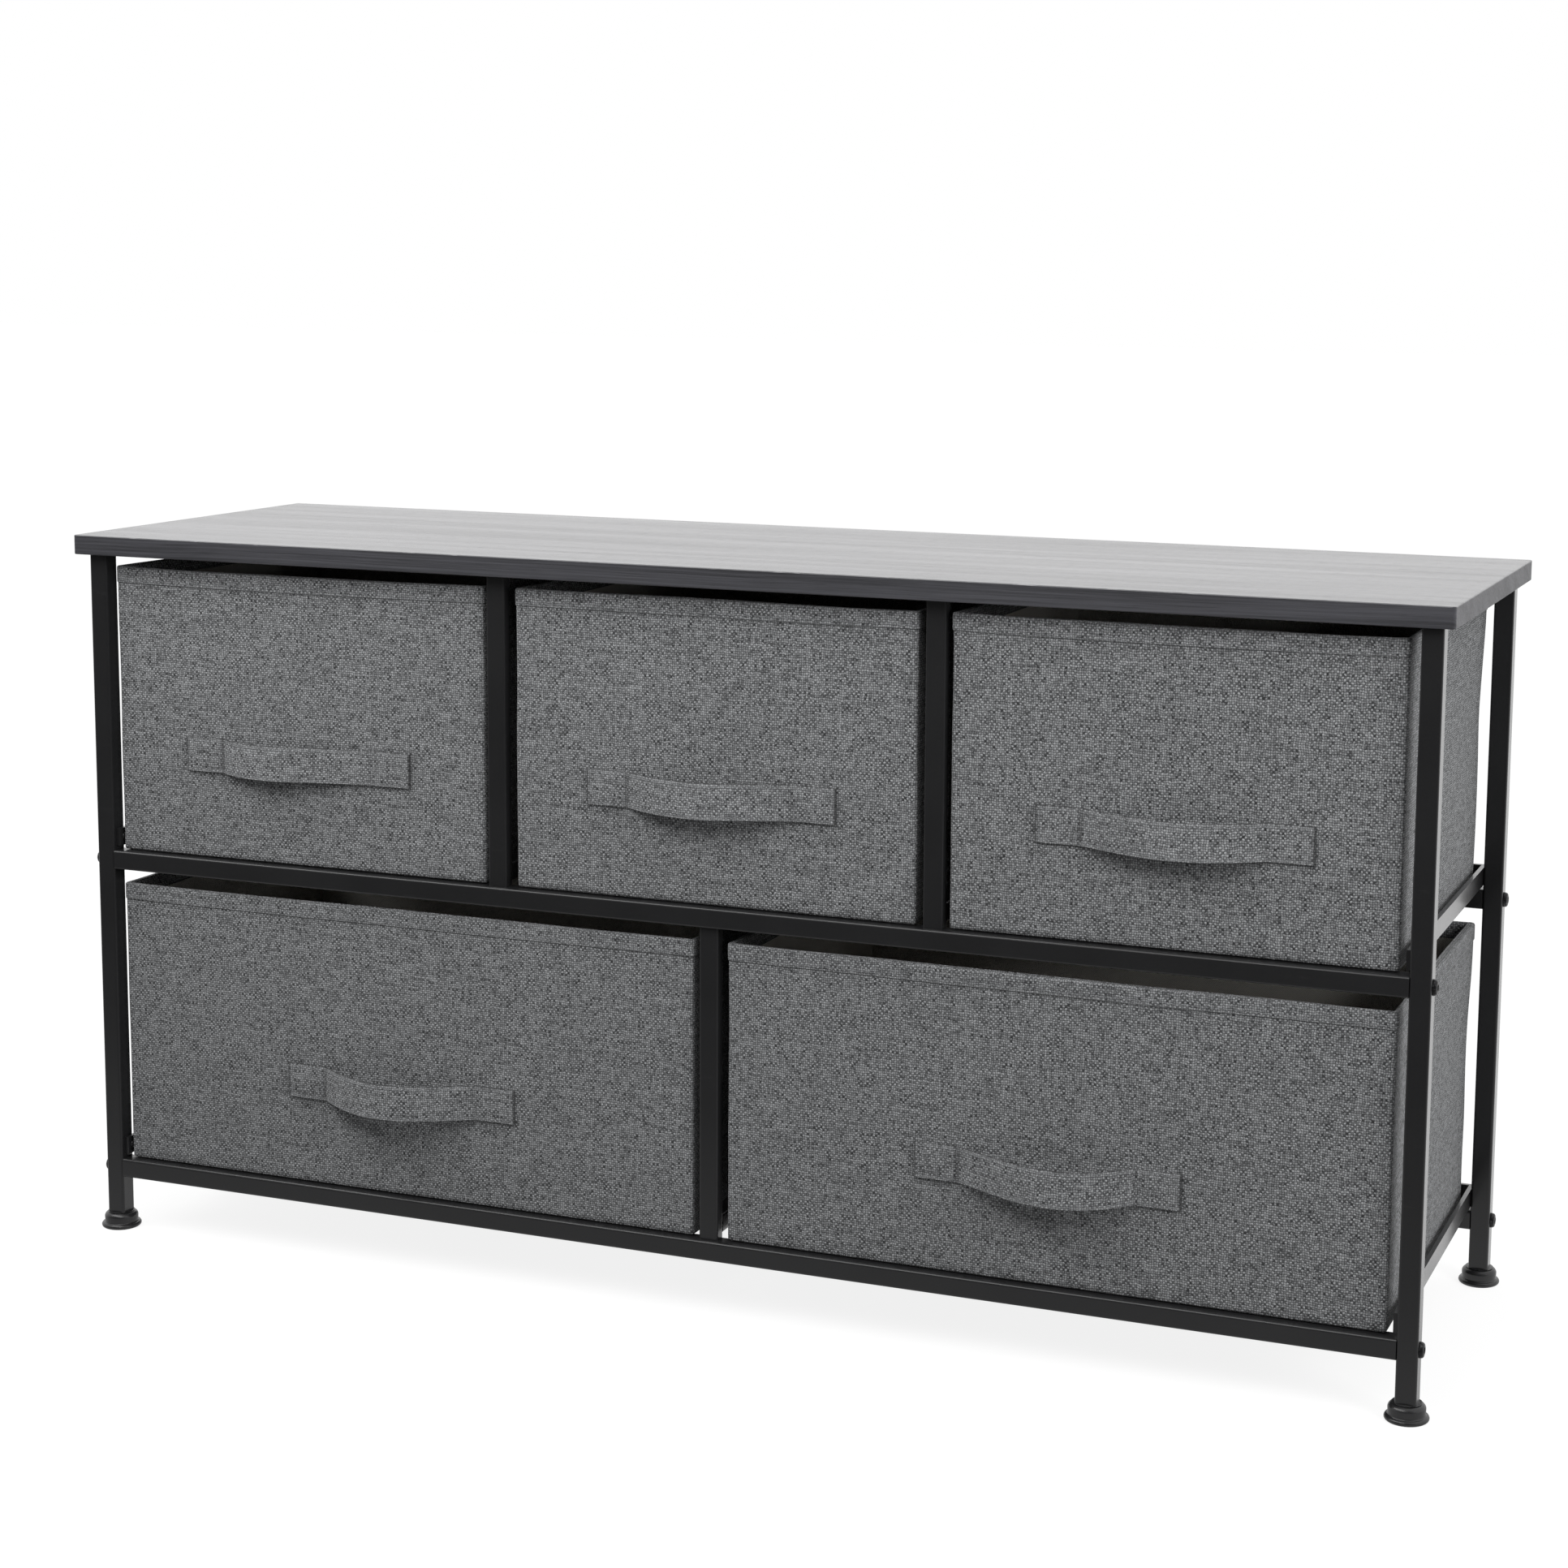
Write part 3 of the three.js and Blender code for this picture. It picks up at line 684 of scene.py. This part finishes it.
def drawer_cover(form, cloth):
    """The outer cloth: under the floor, up the walls, over the mouth and a fold's depth down inside."""
    height = form.height
    hem = height - cloth.hem_height
    fold = height - cloth.fold_depth
    proud = cloth.hem_thickness
    middle = cloth.wall / 2
    rim = (cloth.wall + proud) / 2
    wall_foot, wall_head = 0.004, hem - 0.001
    levels = list(LOWER_EDGE)
    levels += [(0.0, rise) for rise in (wall_foot, *steps_between(wall_foot, wall_head, 20), wall_head)]
    levels += [(0.0, hem - 0.0002), (proud * 0.6, hem), (proud * 0.95, hem + 0.0004)]
    levels += [(proud, hem + rise) for rise in (0.0012, 0.003, 0.006, 0.0085)]
    for step in range(7):
        angle = math.pi * step / 6
        over = height - MOUTH_ROLL + MOUTH_ROLL * math.sin(angle)
        levels.append((proud - rim + rim * math.cos(angle), over))
    levels += [(-cloth.wall, rise) for rise in (height - 0.005, height - 0.011, fold + 0.0006)]
    levels += [(-cloth.wall + 0.0004, fold), (-middle, fold)]
    levels += [(-middle, rise) for rise in reversed(steps_between(middle, fold, 16))]
    levels += [(-middle, middle)]
    bm = form.shell(levels)
    wear_and_highlight_layer = bm.verts.layers.float.new(WEAR_AND_HIGHLIGHT)
    shade = bm.verts.layers.float.new(SHADED)
    for vert in bm.verts:
        _, out = form.split(vert.co)
        over_hem = vert.co.z - form.centre.z - hem
        # Painted shade: a dark line under the hem's step
        vert[shade] = near_line(over_hem + 0.0003, 0.0003, 0.0008) * 0.55
        # Painted highlight along the hem's fold edge; paler corners and mouth from wear
        hem_edge_highlight = near_line(over_hem - 0.0004, 0.0001, 0.0006)
        turn = 2 * min(abs(out.x), abs(out.y))
        at_mouth = ease(vert.co.z - form.centre.z, height - 0.0012, height - 0.0001)
        vert[wear_and_highlight_layer] = max(ease(turn, 0.25, 1.0) * 0.15, at_mouth * 0.3, hem_edge_highlight * 0.8)
    form.settle(bm)
    return map_cloth(bm, form.seed * 0.31)


def drawer_lining(form, cloth):
    """The lining: a thin closed skin inside the walls, from under the fold to the floor."""
    gap = 0.00015
    floor = cloth.wall
    middle = cloth.wall / 2 + gap
    inside = cloth.wall - gap
    top = form.height - cloth.fold_depth - 0.0002
    levels = [(-middle, middle)]
    levels += [(-middle, rise) for rise in steps_between(middle, top, 16)]
    levels += [(-middle, top), (-inside, top)]
    levels += [(-inside, rise) for rise in reversed(steps_between(floor, top, 16))]
    levels += [(-inside, floor + 0.002), (-inside - 0.0006, floor + 0.0006), (-inside - 0.002, floor)]
    bm = form.shell(levels)
    form.settle(bm)
    return map_cloth(bm, form.seed * 0.17)


def stitch_shape(length, thickness):
    """One stitch along X."""
    bm = bmesh.new()
    shape = Matrix.Diagonal((length / 2, thickness / 2, thickness / 2, 1))
    turned = Matrix.Rotation(QUARTER, 4, "Y")
    bmesh.ops.create_uvsphere(bm, u_segments=6, v_segments=5, radius=1, matrix=shape @ turned)
    return mesh_from(bm, "stitch")


def copies(shape, places):
    """A bmesh of one shape at many places."""
    bm = bmesh.new()
    for place in places:
        copy = shape.copy()
        copy.transform(place)
        bm.from_mesh(copy)
        bpy.data.meshes.remove(copy)
    bpy.data.meshes.remove(shape)
    return bm


def hem_stitches(form, cloth):
    """A row of stitches near the hem's lower edge, all the way round."""
    places = []
    height = form.height - cloth.hem_height + HEM_SEAM
    for out in (Vector((0, -1)), Vector((1, 0)), Vector((0, 1)), Vector((-1, 0))):
        reach, half = (form.half_x, form.half_y) if out.x else (form.half_y, form.half_x)
        along = Vector((-out.y, out.x))
        for step in even_steps(2 * (half - form.radius), cloth.stitch_pitch):
            flat = out * (reach + cloth.hem_thickness) + along * step
            place = Vector((form.centre.x + flat.x, form.centre.y + flat.y, form.centre.z + height))
            way, amount = form.outward(place)
            place += Vector((way.x, way.y, 0)) * amount
            places.append(facing(along.to_3d(), out.to_3d(), UP, place))
    return copies(stitch_shape(cloth.stitch_length, HEM_THREAD), places)


def base_board(form):
    """The loose board on a drawer's floor, wrapped in lining cloth."""
    low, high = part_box(form.body + "_base")
    size = high - low
    bm = bmesh.new()
    bmesh.ops.create_cube(bm, size=1)
    bmesh.ops.scale(bm, vec=size, verts=bm.verts)
    for upright, radius, segments in ((True, 0.003, 4), (False, 0.0007, 3)):
        rises = [(edge, abs(edge.verts[0].co.z - edge.verts[1].co.z)) for edge in bm.edges]
        chosen = [edge for edge, rise in rises if (rise > size.z / 2) == upright]
        round_off(bm, chosen, radius, segments)
    bmesh.ops.translate(bm, vec=(low + high) / 2, verts=bm.verts)
    return map_cloth(bm, form.seed * 0.23)


class StrapForm:
    """The line that a strap follows, seen from above, with its place and turn at any length along it."""

    droop = 0.0012
    wave = 0.0005
    tilt = math.radians(5)

    def __init__(self, drawer, strap):
        self.body = "drawer_" + drawer
        low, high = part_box(self.body + "_handle")
        self.strap = strap
        self.left = low.x
        self.length = high.x - low.x
        self.back = high.y
        self.centre_z = (low.z + high.z) / 2
        self.bow = high.y - low.y - strap.thickness
        peak = strap.peaks[DRAWERS.index(drawer)]
        self.skew = (0.5 - peak) / (peak * (1 - peak))
        self.seed = DRAWERS.index(drawer) + 1.0

    def rise(self, across):
        """How far the strap stands off the drawer, from 0 to 1, at a distance from its left end."""
        span = self.length - 2 * self.strap.patch
        share = (across - self.strap.patch) / span
        if not 0 < share < 1:
            return 0.0
        return math.sin(math.pi * (share + self.skew * share * (1 - share)))

    def spot(self, across):
        out = self.rise(across)
        middle = self.back - self.strap.thickness / 2
        wave = noise.noise(Vector((across * 30, self.seed * 5.3, 0))) * out
        height = self.centre_z - self.droop * out + wave * self.wave
        return Vector((self.left + across, middle - self.bow * out, height))

    def place(self, across):
        """A frame with X along the strap, Y into its thickness and Z up across it."""
        nudge = 0.0005
        along = (self.spot(across + nudge) - self.spot(across - nudge)).normalized()
        inwards = UP.cross(along).normalized()
        flat = facing(along, inwards, along.cross(inwards), self.spot(across))
        return flat @ Matrix.Rotation(-self.tilt * self.rise(across), 4, "X")


def strap_band(form):
    """A doubled band with round edges, pinched along its edge seams and swept along the strap's line."""
    strap = form.strap
    half_height = strap.height / 2
    bm = bmesh.new()
    round_rectangle(bm, strap.thickness, strap.height, strap.thickness * 0.42, 3)
    for edge in [edge for edge in bm.edges if edge.calc_length() > half_height]:
        bmesh.ops.subdivide_edges(bm, edges=[edge], cuts=18)
    seam = half_height - strap.seam_inset
    for vert in bm.verts:
        near = 1 - min(abs(abs(vert.co.y) - seam) / SEAM_WIDTH, 1.0)
        vert.co.x -= math.copysign(SEAM_PINCH * near, vert.co.x)
    stand = Matrix(((0, 0, 1, 0), (1, 0, 0, 0), (0, 1, 0, 0), (0, 0, 0, 1)))
    layer_along = bm.verts.layers.float.new("along")
    layer_up = bm.verts.layers.float.new("up")
    shade = bm.verts.layers.float.new(SHADED)
    wear_and_highlight_layer = bm.verts.layers.float.new(WEAR_AND_HIGHLIGHT)
    stops = [form.length * step / STRAP_STEPS for step in range(STRAP_STEPS + 1)]
    frames = [form.place(stop) @ stand for stop in stops]
    verts = list(bm.verts)
    edges = list(bm.edges)
    for vert in verts:
        vert[layer_up] = vert.co.y
        inset = half_height - abs(vert.co.y)
        # Painted shade on the band's edges, and a painted highlight on the ridge beside each edge seam
        vert[shade] = 1 - ease(inset, 0.0001, 0.0007)
        vert[wear_and_highlight_layer] = ease(inset, 0.0005, 0.0010) * (1 - ease(inset, 0.0013, 0.0024))
    bmesh.ops.transform(bm, matrix=frames[0], verts=verts)
    travelled = 0.0
    for before, after in zip(frames, frames[1:]):
        verts, edges = new_parts(bmesh.ops.extrude_edge_only(bm, edges=edges))
        bmesh.ops.transform(bm, matrix=after @ before.inverted(), verts=verts)
        travelled += (after.translation - before.translation).length
        for vert in verts:
            vert[layer_along] = travelled
    for vert in bm.verts:
        along = vert[layer_along]
        inset = min(along, travelled - along)
        # Painted shade: dark lines where the bow leaves each patch, and along both ends
        left_fold_shade = near_line(along - strap.patch, 0.0004, 0.0019) * 0.8
        right_fold_shade = near_line(travelled - along - strap.patch, 0.0004, 0.0019) * 0.3
        vert[shade] = max(vert[shade], 1 - ease(inset, 0.0, 0.0012), left_fold_shade, right_fold_shade)
    bmesh.ops.contextual_create(bm, geom=edges)
    bmesh.ops.recalc_face_normals(bm, faces=bm.faces)
    cloth_map = bm.loops.layers.uv.new(CLOTH_MAP)
    for face in bm.faces:
        for loop in face.loops:
            loop[cloth_map].uv = (loop.vert[layer_along] + form.seed * 0.41, loop.vert[layer_up])
    return bm


def strap_stitches(form, cloth):
    """Rows along both edges, and rows across both ends of each sewn patch."""
    strap = form.strap
    seam = strap.height / 2 - strap.seam_inset
    face = -strap.thickness / 2 + 0.00008
    end_seam, patch_seam = 0.0028, strap.patch - 0.003
    places = []
    for step in even_steps(form.length - 0.004, cloth.stitch_pitch):
        for height in (-seam, seam):
            places.append(form.place(form.length / 2 + step) @ Matrix.Translation((0, face, height)))
    for across in (end_seam, patch_seam, form.length - patch_seam, form.length - end_seam):
        for height in even_steps(2 * seam, cloth.stitch_pitch):
            place = form.place(across) @ Matrix.Translation((0, face, height))
            places.append(place @ Matrix.Rotation(QUARTER, 4, "Y"))
    return copies(stitch_shape(cloth.stitch_length, STRAP_THREAD), places)


def turned(points, steps):
    """A closed round body from a profile of (radius, height) that starts and ends on the axis."""
    bm = bmesh.new()
    verts = [bm.verts.new((radius, 0, height)) for radius, height in points]
    edges = [bm.edges.new(pair) for pair in zip(verts, verts[1:])]
    bmesh.ops.spin(
        bm, geom=verts + edges, cent=(0, 0, 0), axis=UP, angle=2 * math.pi, steps=steps, use_merge=True
    )
    bmesh.ops.remove_doubles(bm, verts=bm.verts, dist=1e-6)
    bmesh.ops.recalc_face_normals(bm, faces=bm.faces)
    return bm


def arc(centre, radius, start, end, count):
    """Points of a profile on a circle, from one angle to another in degrees."""
    points = []
    for step in range(count + 1):
        angle = math.radians(start + (end - start) * step / count)
        points.append((centre[0] + radius * math.cos(angle), centre[1] + radius * math.sin(angle)))
    return points


def foot_body(low, high, leg_low):
    """A glide in two tiers: a flat round base, a groove, and a domed collar under the leg."""
    radius = (high.x - low.x) / 2
    top = leg_low - low.z
    edge, groove, dome = 0.0018, 0.0011, 0.0036
    sole = 0.0004
    points = [(0, sole), (radius - 0.0045, sole), (radius - 0.0042, 0), (radius - edge, 0)]
    points += arc((radius - edge, edge), edge, -80, 70, 7)
    points += arc((radius - 0.0013, 0.0046), groove, 260, 180, 4)
    points += arc((radius - 0.0058, top - 0.0042), dome, 8, 84, 6)
    points += [(0.0098, top - 0.0002), (0.0092, top), (0, top)]
    bm = turned(points, 56)
    bmesh.ops.translate(bm, vec=((low.x + high.x) / 2, (low.y + high.y) / 2, low.z), verts=bm.verts)
    return bm


def bolt_body(low, high, side):
    """A button head with a hex socket and a plain shank, lying along X."""
    radius = (high.z - low.z) / 2
    length = high.x - low.x
    head, shank, socket, rim = 0.003, 0.003, 0.002, 0.0026
    tip = head - length
    chamfer, edge, crown = 0.0008, 0.0003, 0.0016
    floor = head - 0.0019
    points = [(0, tip), (shank - chamfer, tip), (shank, tip + chamfer), (shank, 0), (radius - edge, 0)]
    points += arc((radius - edge, edge), edge, -60, 0, 2)
    points += [(radius - 0.0001, floor)]
    points += arc((radius - 0.0018, head - 0.0018), crown, 8, 84, 5)
    points += [(rim + 0.0002, head), (rim, head - 0.0002), (rim, head - 0.0017), (0, floor)]
    bm = turned(points, 36)
    for vert in bm.verts:
        flat = Vector((vert.co.x, vert.co.y))
        if vert.co.z > head - 0.0018 and 0.0001 < flat.length < rim + 0.00015:
            sector = (math.atan2(flat.y, flat.x) + 2 * math.pi) % (math.pi / 3) - math.pi / 6
            flat *= socket / math.cos(sector) / rim
            vert.co.x, vert.co.y = flat
    bmesh.ops.rotate(bm, cent=(0, 0, 0), matrix=Matrix.Rotation(side * QUARTER, 3, "Y"), verts=bm.verts)
    seat = high.x - head if side > 0 else low.x + head
    bmesh.ops.translate(bm, vec=(seat, (low.y + high.y) / 2, (low.z + high.z) / 2), verts=bm.verts)
    return bm


def rivet_bodies(diameter):
    """A low domed rivet near each end of each side and stop bar, and where a stop bar meets a post."""
    radius = diameter / 2
    dome = [(0, -0.0004), (radius, -0.0004), (radius, 0.0001)]
    for angle in (30, 55, 75):
        turn = math.radians(angle)
        dome.append((radius * math.cos(turn), 0.0001 + 0.0009 * math.sin(turn)))
    dome.append((0, 0.0011))
    places = []
    for node in nodes_that_start("side_bar_"):
        low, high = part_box(node)
        side = -1 if high.x > 0 else 1
        face = low.x if side < 0 else high.x
        for end in (low.y + SIDE_BAR_INSET, high.y - SIDE_BAR_INSET):
            spot = Matrix.Translation((face, end, (low.z + high.z) / 2))
            places.append(spot @ Matrix.Rotation(side * QUARTER, 4, "Y"))
    for node in nodes_that_start("stop_bar_"):
        low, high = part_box(node)
        posts = [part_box(name) for name in nodes_that_start("post_rear_")]
        level = [box for box in posts if box[0].z - 0.02 < low.z < box[1].z]
        ends = [low.x + STOP_BAR_INSET, high.x - STOP_BAR_INSET]
        for end in ends + [(box[0].x + box[1].x) / 2 for box in level]:
            spot = Matrix.Translation((end, high.y, (low.z + high.z) / 2))
            places.append(spot @ Matrix.Rotation(-QUARTER, 4, "X"))
    return copies(mesh_from(turned(dome, 20), "rivet"), places)


class DRESSER_OT_finish_board(bpy.types.Operator):
    """Give the top board its dark grain"""

    bl_idname = "dresser.finish_board"
    bl_label = "Finish Top Board"

    def execute(self, context):
        low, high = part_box("top_board")
        board = context.scene.dresser_board
        dress_node("top_board", board_finish(board, high.z, low.y))
        return {"FINISHED"}


class DRESSER_OT_finish_frame(bpy.types.Operator):
    """Give the steel legs, rails, posts and bars their powder coat, and rivet the bars"""

    bl_idname = "dresser.finish_frame"
    bl_label = "Finish Steel Frame"

    def execute(self, context):
        hardware = context.scene.dresser_hardware
        coat = make_finish("black_powder_coat", powder_finish, hardware)
        for node in nodes_that_start("leg_", "rail_", "post_", "guide_", "side_bar_", "stop_bar_"):
            dress_node(node, coat)
        finish_piece(rivet_bodies(hardware.rivet_diameter), "bar_rivets", coat, "frame")
        return {"FINISHED"}


class DRESSER_OT_make_bolts(bpy.types.Operator):
    """Make the button head bolts through the legs"""

    bl_idname = "dresser.make_bolts"
    bl_label = "Make Bolts"

    def execute(self, context):
        steel = make_finish("blackened_bolt_steel", bolt_finish)
        for node in nodes_that_start("bolt_"):
            low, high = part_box(node)
            bolt = bolt_body(low, high, 1 if high.x > 0 else -1)
            finish_piece(bolt, node + "_turned", steel, "frame", [node])
        return {"FINISHED"}


class DRESSER_OT_make_feet(bpy.types.Operator):
    """Make the round moulded feet"""

    bl_idname = "dresser.make_feet"
    bl_label = "Make Feet"

    def execute(self, context):
        plastic = make_finish("black_foot_plastic", plastic_finish, context.scene.dresser_hardware)
        for node in nodes_that_start("foot_"):
            low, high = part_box(node)
            foot = foot_body(low, high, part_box(node.replace("foot_", "leg_"))[0].z)
            finish_piece(foot, node + "_moulded", plastic, "frame", [node])
        return {"FINISHED"}


class DRESSER_OT_make_covers(bpy.types.Operator):
    """Sew the drawers' outer cloth with its hem"""

    bl_idname = "dresser.make_covers"
    bl_label = "Make Drawer Covers"

    def execute(self, context):
        cloth = context.scene.dresser_cloth
        weave = make_finish("grey_drawer_cloth", cloth_finish, "grey_drawer_cloth", 1.0, cloth)
        thread = make_finish("sewing_thread", thread_finish)
        for drawer in DRAWERS:
            form = DrawerForm(drawer, cloth)
            node = form.body + "_bin"
            cover = drawer_cover(form, cloth)
            finish_piece(cover, node + "_cover", weave, form.body, [node], 50)
            stitches = hem_stitches(form, cloth)
            finish_piece(stitches, node + "_hem_stitches", thread, form.body)
        return {"FINISHED"}


class DRESSER_OT_make_linings(bpy.types.Operator):
    """Line the drawers and lay a covered board on each floor"""

    bl_idname = "dresser.make_linings"
    bl_label = "Make Drawer Linings"

    def execute(self, context):
        cloth = context.scene.dresser_cloth
        lining = make_finish("pale_lining", lining_finish)
        for drawer in DRAWERS:
            form = DrawerForm(drawer, cloth)
            skin = drawer_lining(form, cloth)
            finish_piece(skin, form.body + "_lining", lining, form.body, (), 50)
            node = form.body + "_base"
            finish_piece(base_board(form), node + "_wrapped", lining, form.body, [node])
        return {"FINISHED"}


class DRESSER_OT_make_straps(bpy.types.Operator):
    """Sew the pull straps on the drawers' fronts"""

    bl_idname = "dresser.make_straps"
    bl_label = "Make Pull Straps"

    def execute(self, context):
        cloth = context.scene.dresser_cloth
        weave = make_finish("grey_strap_cloth", cloth_finish, "grey_strap_cloth", 1.02, cloth)
        thread = make_finish("sewing_thread", thread_finish)
        for drawer in DRAWERS:
            form = StrapForm(drawer, context.scene.dresser_strap)
            node = form.body + "_handle"
            finish_piece(strap_band(form), node + "_band", weave, form.body, [node], 50)
            stitches = strap_stitches(form, cloth)
            finish_piece(stitches, node + "_stitches", thread, form.body)
        return {"FINISHED"}


def stage_floor():
    """A white floor that fades into the white room and keeps a soft shadow."""
    finish = new_finish("studio_floor")
    rays = finish.node("ShaderNodeLightPath").outputs
    seen = Value(finish, rays["Is Camera Ray"])
    mirrored = Value(finish, rays["Is Glossy Ray"]) + Value(finish, rays["Is Transmission Ray"])
    far = finish.smooth(finish.parts(finish.place())[1], -0.9, 0.5)
    paper, dull = (
        finish.node("ShaderNodeBsdfDiffuse", None, {"Color": (level, level, level, 1)})
        for level in (0.95, 0.24)
    )
    glow, near_image, far_image = (
        finish.node("ShaderNodeEmission", None, {"Color": (1, 1, 1, 1), "Strength": strength})
        for strength in (1.07, 0.10, 1.0)
    )
    image = finish.blend(far, near_image, far_image)
    plain = finish.blend(finish.clamp(mirrored), dull, image)
    whole = finish.blend(seen, plain, finish.blend(0.8, paper, glow))
    finish.node("ShaderNodeOutputMaterial", None, {"Surface": Value(finish, whole.outputs[0])})
    bm = bmesh.new()
    bmesh.ops.create_grid(bm, x_segments=1, y_segments=1, size=20)
    floor = put_in_scene("studio_floor", mesh_from(bm, "studio_floor"))
    floor.data.materials.append(finish.owner)


def stage_room(strength):
    """A room that is white above, beside and behind the object and dark in front of it."""
    world = bpy.data.worlds.new("studio_room")
    bpy.context.scene.world = world
    room = Finish(world)
    way = Value(room, room.node("ShaderNodeTexCoord").outputs["Generated"])
    x, y, z = room.parts(way)
    lit = room.smooth(y + room.maths("ABSOLUTE", x) * 0.35 + z * 0.45, -0.60, 0.45)
    seen = Value(room, room.node("ShaderNodeLightPath").outputs["Is Camera Ray"])
    dim, bright, backdrop = (
        room.node("ShaderNodeBackground", None, {"Color": (1, 1, 1, 1), "Strength": level})
        for level in (0.10 * strength, strength, 1.0)
    )
    light = room.blend(seen, room.blend(lit, dim, bright), backdrop)
    room.node("ShaderNodeOutputWorld", None, {"Surface": Value(room, light.outputs[0])})


def stage_lamp(name, place, aim, size, power, mirrored):
    lamp = bpy.data.lights.new(name, "AREA")
    lamp.shape = "RECTANGLE"
    lamp.size, lamp.size_y = size
    lamp.energy = power
    holder = put_in_scene(name, lamp)
    holder.location = place
    holder.rotation_euler = (Vector(aim) - Vector(place)).to_track_quat("-Z", "Y").to_euler()
    holder.visible_camera = False
    holder.visible_glossy = mirrored


def stage_camera(stage):
    yaw, pitch, roll = stage.turn
    ahead = Vector((-math.sin(yaw) * math.cos(pitch), math.cos(yaw) * math.cos(pitch), math.sin(pitch)))
    level = Vector((math.cos(yaw), math.sin(yaw), 0))
    upward = level.cross(ahead)
    right = level * math.cos(roll) + upward * math.sin(roll)
    above = upward * math.cos(roll) - level * math.sin(roll)
    lens = bpy.data.cameras.new("studio_camera")
    lens.lens = stage.lens
    lens.sensor_width = 36
    lens.shift_x, lens.shift_y = stage.shift
    lens.clip_start, lens.clip_end = 0.05, 100
    camera = put_in_scene("studio_camera", lens)
    camera.matrix_world = facing(right, above, -ahead, stage.eye)
    bpy.context.scene.camera = camera


class DRESSER_OT_set_stage(bpy.types.Operator):
    """Set up the floor, the room, the lamps and the camera"""

    bl_idname = "dresser.set_stage"
    bl_label = "Set Stage"

    def execute(self, context):
        stage = context.scene.dresser_stage
        stage_floor()
        stage_room(stage.room_light)
        for name, lamp in LAMPS.items():
            stage_lamp(name, *lamp)
        stage_camera(stage)
        context.scene.view_settings.view_transform = "Standard"
        return {"FINISHED"}


class DRESSER_PT_panel(bpy.types.Panel):
    """The dresser's settings and steps, in the order in which they run"""

    bl_label = "Fabric Drawer Dresser"
    bl_idname = "DRESSER_PT_panel"
    bl_space_type = "VIEW_3D"
    bl_region_type = "UI"
    bl_category = "Dresser"

    def draw(self, context):
        for name, group in SETTINGS.items():
            box = self.layout.box()
            for prop in group.__annotations__:
                box.prop(getattr(context.scene, name), prop)
        for step in STEPS:
            self.layout.operator(step.bl_idname)


STEPS = (
    DRESSER_OT_finish_board,
    DRESSER_OT_finish_frame,
    DRESSER_OT_make_bolts,
    DRESSER_OT_make_feet,
    DRESSER_OT_make_covers,
    DRESSER_OT_make_linings,
    DRESSER_OT_make_straps,
    DRESSER_OT_set_stage,
)


def register():
    for group in SETTINGS.values():
        bpy.utils.register_class(group)
    for name, group in SETTINGS.items():
        setattr(bpy.types.Scene, name, bpy.props.PointerProperty(type=group))
    for step in (*STEPS, DRESSER_PT_panel):
        bpy.utils.register_class(step)


def unregister():
    for step in reversed((*STEPS, DRESSER_PT_panel)):
        bpy.utils.unregister_class(step)
    for name in SETTINGS:
        delattr(bpy.types.Scene, name)
    for group in SETTINGS.values():
        bpy.utils.unregister_class(group)


def main():
    register()
    bpy.ops.dresser.finish_board()
    bpy.ops.dresser.finish_frame()
    bpy.ops.dresser.make_bolts()
    bpy.ops.dresser.make_feet()
    bpy.ops.dresser.make_covers()
    bpy.ops.dresser.make_linings()
    bpy.ops.dresser.make_straps()
    bpy.ops.dresser.set_stage()


if __name__ == "__main__":
    main()
